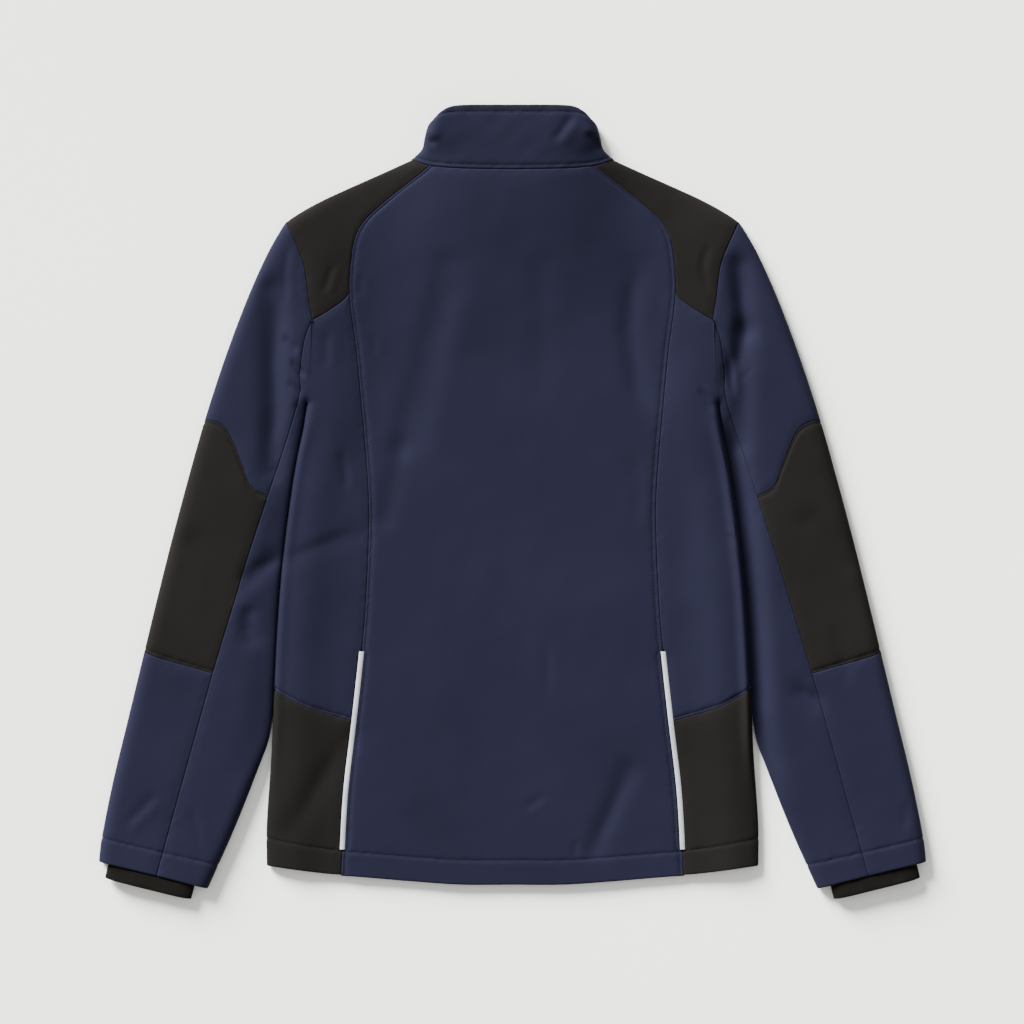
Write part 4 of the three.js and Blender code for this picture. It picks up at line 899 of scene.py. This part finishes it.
def lapAlong(patch, up, step):
    left, right = patch["left"](up), patch["right"](up)
    length = np.linalg.norm(right - left, axis=1)[:, None]
    return patchPoints(patch, up, 1 - step / length)[:, 0]


frontCloth = {"rowsFromUnderarm": (-50, -25, 1, 15), "endShare": 0.1, "neckColumns": 25,
              "lapRows": (24, 10), "armRows": 5}


def front(side, name):
    patch, corner = shoulderPatch()[:2]
    beforeCorner, afterCorner = frontCloth["lapRows"]
    lapShares = np.unique(np.concatenate([np.linspace(0, corner, beforeCorner),
                                          np.linspace(corner, 1, afterCorner)]))
    lapEdge = lapAlong(patch, lapShares, fold["yokeLap"] + cloth["underGap"])
    neckX = np.linspace(zipEdge, lapEdge[0, 0], frontCloth["neckColumns"])
    neckLine = joined(neckX, frontNeckY(neckX) - np.linspace(1, 0, len(neckX)) * cloth["gap"])
    topLine = np.vstack([neckLine, lapEdge[1:]])
    hemCornerY = hemEdge["y"][-1]
    startStep, endStep = frontCloth["rowsFromUnderarm"][-2:]

    def outX(y):
        joinedShare = smooth((y - underarmY - startStep) / (endStep - startStep))
        earX = bodySideX(underarmY) - fold["lap"] - cloth["underGap"]
        high = lerp(earX, frontArmholeX(y) - cloth["underGap"], joinedShare)
        return np.where(y > underarmY, high, bodySideX(y) - fold["lap"] - cloth["underGap"])

    def bottom(across):
        x = lerp(zipEdge, outX(hemCornerY), across)
        return joined(x, hemY(x))

    def left(up):
        return joined(zipEdge, lerp(hemY(0), frontNeck["centreY"], up))

    def right(up):
        y = lerp(hemCornerY, topLine[-1, 1], up)
        return joined(lerp(outX(y), topLine[-1, 0], smooth(1 - (1 - up) / frontCloth["endShare"])), y)

    patch = {"bottom": bottom, "top": onLine(topLine), "left": left, "right": right}
    middle = frontNeck["centreY"] - float(hemY(0))
    sideLength = topLine[-1, 1] - hemCornerY
    marks = [(underarmY + y - hemCornerY) / sideLength for y in frontCloth["rowsFromUnderarm"]]
    up = np.unique(np.concatenate([sharesOf(middle, hemSteps, edgeSteps, cloth["underStep"]), marks,
                                   np.linspace(marks[2], marks[3], frontCloth["armRows"])]))
    lengths = lengthsAlong(topLine) / lengthsAlong(topLine)[-1]
    lapStart = lengths[len(neckLine) - 1]
    inside = sharesOf(lapStart * armholeX(shoulderY), edgeSteps, plainSteps, cloth["underStep"]) * lapStart
    across = np.unique(np.concatenate([inside, lengths[len(neckLine) - 1:]]))
    rows = raised(patchPoints(patch, up, np.repeat(across[None], len(up), axis=0)), side, liftAt)
    rows = turnHem(rows, -side, downwards, hemIndex)
    facing = smooth((zipEdge + frontFacing["width"] - np.abs(rows[..., 0])) / frontFacing["ramp"])
    wall = lerp(cloth["wall"], frontFacing["thick"], facing)
    clothPiece("front_" + name, rows, -side, "navy", [(1, 0), (1, -1), (0, -1)], [], wall=wall)


def pipingStrip(side, name):
    inset = piping["inset"]
    y = np.linspace(piping["bottomY"] + inset, piping["topY"] - inset, piping["rows"])[:, None]
    across = np.array(piping["across"])
    dome = piping["proud"] * (1 - np.abs(across) ** 3) - piping["sunk"]
    rows = raised(joined(backSeamX(y) + piping["halfWidth"] * across, y), side,
                  lambda x, y: upperHeight(x, y, "body") + dome)
    trims.append(clothPiece("piping_" + name, rows, side, "silver", [], []))


sleeveSeamLine = lineByPoints(sleeveSeam, steps=600)
sleeveLength = lengthsAlong(sleeveSeamLine)[-1]
elbowTopLine, elbowBottomLine = lineByPoints(elbowTop), lineByPoints(elbowBottom)


def seamShareAt(table):
    gaps = np.hypot(sleeveSeamLine[:, 0] - table["x"][0], sleeveSeamLine[:, 1] - table["y"][0])
    return int(np.argmin(gaps)) / (len(sleeveSeamLine) - 1)


elbowShares = (seamShareAt(elbowTop), seamShareAt(elbowBottom))


def outerSleevePatches():
    half = cloth["gap"] / 2
    up = np.array([-half, half])
    armTop = lineByY(armholeX, sleeveSeam["y"][0], shoulderY) - np.array([-1, 1]) * cloth["gap"]
    hemLine = np.array([sleeveHem["seam"], sleeveHem["outer"]], float)
    topY, bottomY = elbowTop["y"][-1], elbowBottom["y"][-1]
    pieces = (
        {"name": "sleeve_upper", "finish": "navy", "top": armTop, "bottom": elbowTopLine + up,
         "rows": (0, elbowShares[0]), "y": (shoulderY - 2 * cloth["gap"], topY + half)},
        {"name": "elbow", "finish": "black", "top": elbowTopLine - up, "bottom": elbowBottomLine + up,
         "rows": elbowShares, "y": (topY - half, bottomY + half)},
        {"name": "sleeve_lower", "finish": "navy", "top": elbowBottomLine - up, "bottom": hemLine,
         "rows": (elbowShares[1], 1), "y": (bottomY - half, sleeveHem["outer"][1])})
    for piece in pieces:
        def left(share, piece=piece):
            return pointAlong(sleeveSeamLine, lerp(*piece["rows"], share)) + np.array([half, 0])

        def right(share, piece=piece):
            y = lerp(*piece["y"], share)
            return joined(outerX(y), y)

        piece["patch"] = {"bottom": onLine(piece["top"]), "top": onLine(piece["bottom"]),
                          "left": left, "right": right}
    return pieces


hemWay = np.array(sleeveHem["outer"], float) - np.array(sleeveHem["inner"], float)
hemWay = hemWay / np.linalg.norm(hemWay)


def outOfSleeve(side):
    return np.array([side * hemWay[1], -hemWay[0], 0.0])


def outerSleeve(side, name):
    for piece in outerSleevePatches():
        length = sleeveLength * (piece["rows"][1] - piece["rows"][0])
        last = piece["name"] == "sleeve_lower"
        up = sharesOf(length, edgeSteps, hemSteps if last else edgeSteps)
        rows, foldColumn = foldedGrid(side, piece["patch"], up, "sleeve", fold["lap"], False)
        edges = [(1, 0), (0, 0)] + ([] if last else [(0, -1)])
        rows = sinkSeams(rows, -side, edges)
        if piece["name"] == "elbow":
            rows = pressStitch(rows, -side, 0, closeIndex, "black", slice(2, foldColumn))
            rows = pressStitch(rows, -side, 0, -1 - closeIndex, "black", slice(2, foldColumn))
        if last:
            rows = pressStitch(rows, -side, 0, -1 - hemIndex, "navy", slice(1, foldColumn))
            rows = turnHem(rows[::-1], side, outOfSleeve(side), hemIndex)
            edges = [(1, 0), (0, -1)]
        clothPiece(piece["name"] + "_" + name, rows, side if last else -side, piece["finish"], edges,
                   ["sleeve_under_" + name])


underColumns = 16


def underSleeve(side, name):
    half = cloth["gap"] / 2
    topY = sleeveSeam["y"][0]
    toUnderarm = (topY - underarmY) / (topY - innerEndY)
    up, underarmRow = sharesPast(sleeveLength, toUnderarm, hemSteps)

    def innerEdge(share):
        y = lerp(topY, innerEndY, share)
        return np.where((share < toUnderarm)[..., None], joined(armholeX(y) + cloth["gap"], y),
                        joined(sleeveInnerX(y), y))

    def foldPoint(share):
        return innerEdge(np.maximum(share, toUnderarm))

    def outerEnd(share):
        ends = np.zeros((len(share), 2))
        for piece in outerSleevePatches():
            first, last = piece["rows"]
            inside = (share >= first) & (share <= last)
            local = (share[inside] - first) / (last - first)
            ends[inside] = lapAlong(piece["patch"], local, fold["lap"] + cloth["underGap"])
        return ends

    hemIn = np.array([sleeveHem["seam"], sleeveHem["inner"]], float)
    tip = np.array([pointAlong(sleeveSeamLine, 0) - (half, 0), innerEdge(np.zeros(1))[0]])
    topPatch = {
        "bottom": onLine(tip), "top": onLine(hemIn), "right": innerEdge,
        "left": lambda share: pointAlong(sleeveSeamLine, share) - np.array([half, 0])}
    lowLine = np.vstack([foldPoint(np.zeros(1)), outerEnd(np.zeros(1))])
    highLine = np.vstack([[sleeveHem["inner"]], outerEnd(np.ones(1))])
    underPatch = {"bottom": onLine(lowLine), "top": onLine(highLine), "left": foldPoint, "right": outerEnd}
    folded = np.arange(len(up)) >= underarmRow
    rows, foldColumn = foldedGrid(side, topPatch, up, "sleeve", fold["lap"], False, folded)
    rows = rows[:, :foldColumn + 1]
    width = np.linalg.norm(outerEnd(up) - foldPoint(up), axis=1)[:, None]
    steps = underSteps * fold["under"] / width
    rest = lerp(steps[:, -1:], 1 - edgeSteps[-1] / width, np.linspace(0, 1, underColumns)[1:])
    across = np.hstack([steps, rest, 1 - edgeSteps[::-1][1:] / width])
    lower = raised(patchPoints(underPatch, up, across), side,
                   lambda x, y: underHeight(x, y, "sleeve", across * width))
    rows = np.concatenate([rows, lower], axis=1)
    cells = allCells(rows)
    cells[:underarmRow, foldColumn:foldColumn + len(underSteps)] = False
    rows = sinkSeams(rows, side, [(1, 0)])
    rows = pressStitch(rows, side, 0, -1 - hemIndex, "navy", slice(1, foldColumn))
    rows = turnHem(rows[::-1], -side, outOfSleeve(side), hemIndex)
    turned = rows.shape[0] - 1 - cells.shape[0]  # the rows that the hem adds
    cells = np.concatenate([np.ones((turned, cells.shape[1]), bool), cells[::-1]])
    armRows = slice(rows.shape[0] - underarmRow, None)
    clothPiece("sleeve_under_" + name, rows, -side, "navy", [(1, 0)], [], cells,
               armRows=armRows, armColumn=foldColumn, armReach=-cloth["armReach"])


collar = {"topBackY": 397.0, "topFrontY": 366.0, "edgeY": 386.0, "squareness": 9, "foldHeight": 5.5,
          "height": 20.5, "round": 13.0, "tightness": 2.4, "backGap": 0.84, "frontGap": 0.9,
          "fullShare": 0.625, "seamShare": 0.2, "length": 62.0, "step": 2.4, "backColumns": 30,
          "frontColumns": 14, "uneven": 0.13, "unevenSize": 28, "seed": 17, "topStitch": -6}
collarDarkBand = {"wide": 3.2, "startX": -60, "endX": 68, "ramp": 12}  # a band of the dark tape cloth along the collar's top edge
collarTopSteps = np.array([0, 1.4, 2.6, 4.5, 6.2, 7.2, 8.4, 10])
collarSideways = np.array([0, 0.02, 0.1, 0.3, 0.7, 1.3, 2.1, 3.2, 4.6, 6.4, 8.8, 12, 16])
collarBelow = np.array([0.03, 0.15, 0.4, 0.9, 1.8, 3, 4.5, 6, 9])
collarStitched = {"from": 8, "to": 7}  # columns at each side fold without topstitches
collarWidths = {"up": (0, 0.22, 0.5, 0.8, 1), "half": (101, 91, 88, 84, 76)}


def collarPiece():
    seamHalf = collarWidths["half"][0]
    plain = np.linspace(collarSideways[-1], seamHalf, collar["backColumns"])[1:]
    sideways = np.concatenate([collarSideways, plain])
    out = 1 - sideways / seamHalf
    lines = []
    for share in sharesOf(collar["length"], edgeSteps, collarTopSteps, collar["step"]):
        half = float(readTable(collarWidths, "up", "half", share))
        foldZ = lerp(fold["height"], collar["foldHeight"], share)
        seamX = out * seamHalf
        startY = neckY(seamX) + collar["backGap"]
        endY = lerp(collar["topBackY"], collar["edgeY"], out ** collar["squareness"])
        own = lerp(foldZ, collar["height"], climb(half * (1 - out), collar["round"], collar["tightness"]))
        shares = smooth(share / collar["fullShare"])

        def backSide(sign):
            joinedZ = upperHeight(sign * seamX, neckY(seamX), "body")
            joinedZ[0] = foldZ
            z = lerp(joinedZ, own, shares)
            x, y = sign * out * half, lerp(startY, endY, share)
            full = climb(half * (1 - out), collar["round"]) * smooth(share / collar["seamShare"])
            uneven = collar["uneven"] * ripple(x, y, collar["unevenSize"], collar["seed"])
            return np.stack([x, y, z + (creaseLift(x, y) + uneven) * full], axis=-1)

        def frontSide(sign):
            inner = 1 - collarBelow / half
            toZip = np.linspace(inner[-1], zipEdge / half, collar["frontColumns"])[1:]
            across = np.concatenate([inner, toZip])
            neckX = across * seamHalf
            gap = np.where(neckX > frontNeck["endX"], cloth["underGap"], collar["frontGap"])
            y = lerp(frontNeckY(neckX) + gap, lerp(collar["topFrontY"], collar["edgeY"], across ** 2), share)
            x = across * half
            bend = foldZ * (1 - climb(half - x, fold["under"]))
            return np.stack([sign * x, y, np.maximum(bend, liftAt(x, y))], axis=-1)

        lines.append(np.concatenate([frontSide(1)[::-1], backSide(1), backSide(-1)[::-1][1:], frontSide(-1)]))
    rows = sinkSeams(np.array(lines), -1, [(0, 0)])
    rows[..., 2] = np.maximum(rows[..., 2], 0)
    middle = rows.shape[1] // 2
    stitched = slice(middle - len(sideways) + collarStitched["from"],
                     middle + len(sideways) - collarStitched["to"])
    rows = pressStitch(rows, -1, 0, stitchIndex, "navy", stitched)
    rows = pressStitch(rows, -1, 0, collar["topStitch"], "navy", stitched)
    rows = turnHem(rows[::-1], 1, -downwards, rows.shape[0] - 2)
    piece = clothPiece("collar", rows, 1, "navy", [(0, -1), (1, 0), (1, -1)],
                       ["back_centre", "front_left", "front_right"])
    piece.data.materials.append(finishes["tape"])
    # Faces near the top edge of the collar's upper side take the dark tape cloth, which makes a darker band
    # there.
    for face in piece.data.polygons:
        x, y, z = (value / metre for value in face.center)
        toEnd = min(x - collarDarkBand["startX"], collarDarkBand["endX"] - x)
        rolled = collarDarkBand["wide"] * smooth(toEnd / collarDarkBand["ramp"])
        if toEnd > 0 and y > collar["topBackY"] - rolled and z > collar["foldHeight"]:
            face.material_index = 1


cuff = {"from": 16.0, "to": 100.0, "inside": 22.0, "outside": 15.0, "low": 3.3, "high": 9.6,
        "wide": 0.5, "tall": 0.8, "cornerInset": 1.0, "sharpness": 8, "flatness": 4, "points": 161, "rows": 9,
        "uneven": 0.35, "unevenSize": 26, "seed": 12}
cuffSteps = np.array([0, 2.6, 4, 6, 8.5, 11])  # the turned edge ends at the last of them
cuffPlain = 14.0


def cuffPiece(side, name):
    inner = np.array(sleeveHem["inner"], float)
    away = outOfSleeve(1)[:2]
    turn = np.linspace(0, 2 * math.pi, cuff["points"])
    wide = np.sign(np.cos(turn)) * np.abs(np.cos(turn)) ** cuff["wide"]
    tall = np.sign(np.sin(turn)) * np.abs(np.sin(turn)) ** cuff["tall"]
    middle, half = (cuff["from"] + cuff["to"]) / 2, (cuff["to"] - cuff["from"]) / 2
    centreZ, halfZ = (cuff["low"] + cuff["high"]) / 2, (cuff["high"] - cuff["low"]) / 2
    plain = np.linspace(cuffPlain, cuff["inside"] + cuff["outside"], cuff["rows"])
    lines = []
    for length in np.concatenate([cuffSteps, plain]):
        outward = cuff["outside"] - length - np.abs(wide) ** cuff["sharpness"] * cuff["cornerInset"]
        reach = middle + wide * half
        spot = inner + reach[:, None] * hemWay + outward[:, None] * away
        uneven = cuff["uneven"] * ripple(spot[:, 0], spot[:, 1], cuff["unevenSize"], cuff["seed"])
        sag = uneven * np.exp(-np.abs(wide) ** cuff["flatness"])
        lines.append(np.stack([side * spot[:, 0], spot[:, 1], centreZ + tall * halfZ + sag], axis=-1))
    rows = turnHem(np.array(lines), side, outOfSleeve(side), len(cuffSteps))
    clothPiece("cuff_" + name, rows, side, "cuff", [], ["sleeve_under_" + name])


def takeShape(single):  # the points and faces of a piece that is copied many times
    deselect()
    shape = np.array([tuple(vertex.co) for vertex in single.data.vertices])
    faces = [list(face.vertices) for face in single.data.polygons]
    bpy.data.objects.remove(single)
    return shape, faces


def trimOf(name, points, faces, finish, degrees):  # one piece of all the copies
    trim = newPiece(name, np.concatenate(points), faces)
    trim.data.materials.append(finishes[finish])
    shadeByAngle(trim, degrees)
    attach(trim, "jacket")
    trims.append(trim)
    print(name, len(points))


def stitches():
    bpy.ops.mesh.primitive_uv_sphere_add(
        segments=stitching["sides"], ring_count=stitching["rings"], radius=0.5)
    shape, faces = takeShape(bpy.context.active_object)
    shape = shape[:, [2, 0, 1]] * (stitching["length"], stitching["width"], stitching["height"])
    for thread, paths in seamRows.items():
        points, loops = [], []
        for path, ways in paths:
            lengths = lengthsAlong(path)
            places = np.arange(stitching["pitch"], lengths[-1] - stitching["pitch"] / 2, stitching["pitch"])

            def at(values, where, lengths=lengths):
                return np.stack([np.interp(where, lengths, column) for column in values.T], axis=-1)

            centre, up = at(path, places), at(ways, places)
            lengthways = at(path, places + 0.5) - at(path, places - 0.5)
            lengthways = lengthways / np.linalg.norm(lengthways, axis=1, keepdims=True)
            sideways = np.cross(up, lengthways)
            for spot, way, beside, above in zip(centre, lengthways, sideways, up):
                start = len(points) * len(shape)
                points.append(spot + shape @ np.array([way, beside, above]) + above * stitching["proud"])
                loops.extend([[corner + start for corner in face] for face in faces])
        trimOf("stitches_" + thread, points, loops, "thread_" + thread, stitching["shadeAngle"])


centreBack()
collarPiece()
for side, name in ((-1, "left"), (1, "right")):
    sidePieces(side, name)
    shoulder(side, name)
    front(side, name)
    pipingStrip(side, name)
    outerSleeve(side, name)
    underSleeve(side, name)
    cuffPiece(side, name)
    print("half done:", name)
stitches()

ribs = {"rows": 260, "columns": 21, "tall": 0.12, "x": 4.5, "half": 0.6}
teeth = {"pitch": 2.8, "long": 4.4, "wide": 1.7, "tall": 2.1, "inset": 1.595, "sink": 0.25, "edge": 0.35,
         "firstGap": 4.0, "lastGap": 1.0}
sliderSizes = {"startY": 347.45, "endY": 358.45, "half": 4.55, "outer": (7.35, 8.05), "inner": (10.5, 11.15),
               "post": 2.2, "postInset": 0.4, "postGap": 0.3, "bridge": (4.25, 4.95), "leg": 0.7,
               "bridgeHalf": 1.2, "bridgeInner": 1.4, "bite": 0.2, "edge": 0.3, "legEdge": 0.25,
               "flange": 0.7, "flangeStart": 0.4, "flangeEnd": 3.0, "flangeTop": 0.75, "flangeBite": 0.1,
               "flangeEdge": 0.2}
pivot = {"y": 353.0, "z": 6.1}
pullSizes = {"half": 3.15, "thick": 1.05, "top": 0.55, "bottom": -25.95, "edge": 0.3, "cutDeep": 3.0,
             "window": 1.7, "windowLong": 3.4, "windowEdge": 0.4, "windowSteps": 3,
             "slot": 1.5, "slotStart": -21.0, "slotEnd": -9.0, "slotEdge": 1.2, "slotSteps": 5}
hardAngle = 35.0


def tapeZ(y):
    return zipTape["low"] + liftAt(0 * y, y)


def addBox(low, high, bevel, segments=3):  # a box with rounded edges, in millimetres
    low, high = np.array(low, float), np.array(high, float)
    bpy.ops.mesh.primitive_cube_add(size=1.0)
    box = bpy.context.active_object
    bpy.ops.object.mode_set(mode="EDIT")
    bpy.ops.mesh.select_all(action="SELECT")
    bpy.ops.transform.resize(value=tuple((high - low) * metre))
    bpy.ops.transform.translate(value=tuple((low + high) / 2 * metre))
    bpy.ops.object.mode_set(mode="OBJECT")
    rounding = box.modifiers.new("rounding", "BEVEL")
    rounding.width, rounding.segments = bevel * metre, segments
    deselect()
    bpy.ops.object.modifier_apply(modifier="rounding")
    return box


def joinAll(parts, name):
    deselect()
    for part in parts:
        part.select_set(True)
    bpy.context.view_layer.objects.active = parts[0]
    bpy.ops.object.join()
    parts[0].name = name
    deselect()
    return parts[0]


def finishHard(piece, body, node):
    piece.data.materials.append(finishes["metal"])
    shadeByAngle(piece, hardAngle)
    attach(piece, body)
    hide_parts(node)


def tapeAndTeeth():
    y = np.linspace(zipTape["bottomY"], zipTape["topY"], ribs["rows"])[:, None]
    x = np.linspace(-1, 1, ribs["columns"]) * zipTape["half"]
    rib = ribs["tall"] * np.exp(-((np.abs(x) - ribs["x"]) / ribs["half"]) ** 2)
    rows = raised(joined(x, y), 1, lambda x, y: tapeZ(y) + zipTape["thick"] + rib)
    clothPiece("zip_tape", rows, 1, "tape", [], ["front_left", "front_right"], wall=zipTape["thick"])

    across, tall = teeth["wide"] / 2, teeth["tall"] / 2
    shape, faces = takeShape(addBox((0, -across, -tall), (teeth["long"], across, tall), teeth["edge"], 2))
    points, loops = [], []
    firstY, lastY = zipTape["bottomY"] + teeth["firstGap"], sliderSizes["startY"] - teeth["lastGap"]
    for index, y in enumerate(np.arange(firstY, lastY, teeth["pitch"] / 2)):
        side = 1 if index % 2 else -1
        centre = np.array([-side * teeth["inset"], y, float(tapeZ(np.array(y))) - teeth["sink"]])
        start = len(points) * len(shape)
        points.append(shape / metre * (side, 1, 1) + centre)
        loops.extend([[corner + start for corner in face[::side]] for face in faces])
    trimOf("zip_teeth", points, loops, "tape", hardAngle)


def slider():
    size = sliderSizes
    low, high, half, edge = size["startY"], size["endY"], size["half"], size["edge"]
    outer, inner, bridge, wide = size["outer"], size["inner"], size["bridge"], size["bridgeHalf"]
    legIn, legOut = size["bridgeInner"], size["bridgeInner"] + size["leg"]
    legTop, postTop, postHalf = outer[0] + size["bite"], inner[1] - size["bite"], half - size["postInset"]
    parts = [
        addBox((-half, low, outer[0]), (half, high, outer[1]), edge),
        addBox((-half, low, inner[0]), (half, high, inner[1]), edge),
        addBox((-postHalf, high - size["post"], legTop), (postHalf, high - size["postGap"], postTop), edge),
        addBox((-wide, pivot["y"] - legOut, bridge[0]), (wide, pivot["y"] + legOut, bridge[1]), edge),
        addBox((-wide, pivot["y"] - legOut, bridge[0]), (wide, pivot["y"] - legIn, legTop), size["legEdge"]),
        addBox((-wide, pivot["y"] + legIn, bridge[0]), (wide, pivot["y"] + legOut, legTop), size["legEdge"]),
    ]
    startY, endY = low + size["flangeStart"], high - size["flangeEnd"]
    wing, lowZ, highZ = size["flange"], outer[1] - size["flangeBite"], outer[1] + size["flangeTop"]
    for startX in (-half, half - wing):
        parts.append(addBox((startX, startY, lowZ), (startX + wing, endY, highZ), size["flangeEdge"]))
    finishHard(joinAll(parts, "slider"), "jacket", "zip_slider")


def pullTab():
    size = pullSizes
    thick, deep = size["thick"] / 2, size["cutDeep"]
    tab = addBox((-size["half"], pivot["y"] + size["bottom"], pivot["z"] - thick),
                 (size["half"], pivot["y"] + size["top"], pivot["z"] + thick), size["edge"])
    rim = -size["top"]
    holes = ((size["window"], rim - size["windowLong"], rim, size["windowEdge"], size["windowSteps"]),
             (size["slot"], size["slotStart"], size["slotEnd"], size["slotEdge"], size["slotSteps"]))
    for half, startY, endY, edge, segments in holes:
        cutter = addBox((-half, pivot["y"] + startY, pivot["z"] - deep),
                        (half, pivot["y"] + endY, pivot["z"] + deep), edge, segments)
        hole = tab.modifiers.new("hole", "BOOLEAN")
        hole.operation, hole.object, hole.solver = "DIFFERENCE", cutter, "EXACT"
        deselect()
        bpy.context.view_layer.objects.active = tab
        bpy.ops.object.modifier_apply(modifier="hole")
        bpy.data.objects.remove(cutter)
    tab.name = "pull_tab"
    finishHard(tab, "pull", "zip_pull")


tapeAndTeeth()
slider()
pullTab()
print("zip made")

# The trims that lie on each piece: only the back centre has them
for piece, kind, rests in sheets:
    onIt = trims if kind == "back_centre" else []


light = {"sun": 25.5, "softness": 26.0, "height": 21.0, "from": 128.0, "room": 0.95,
         "roomColour": (1.0, 1.0, 0.985, 1), "floor": 8.0}


def floorAndLight():
    bpy.ops.mesh.primitive_plane_add(size=light["floor"], location=(0, 0, 0))
    floor = bpy.context.active_object
    floor.name = "floor"
    deselect()
    floor.data.materials.append(finishes["floor"])
    sun = bpy.data.lights.new("window", "SUN")
    sun.energy, sun.angle = light["sun"], math.radians(light["softness"])
    lamp = linked("window", sun)
    lamp.rotation_euler = (0, math.radians(90 - light["height"]), math.radians(light["from"]))
    world = bpy.data.worlds.new("room")
    world.use_nodes = True
    background = world.node_tree.nodes["Background"]
    background.inputs["Color"].default_value = light["roomColour"]
    background.inputs["Strength"].default_value = light["room"]
    bpy.context.scene.world = world


floorAndLight()
print("floor and light set")
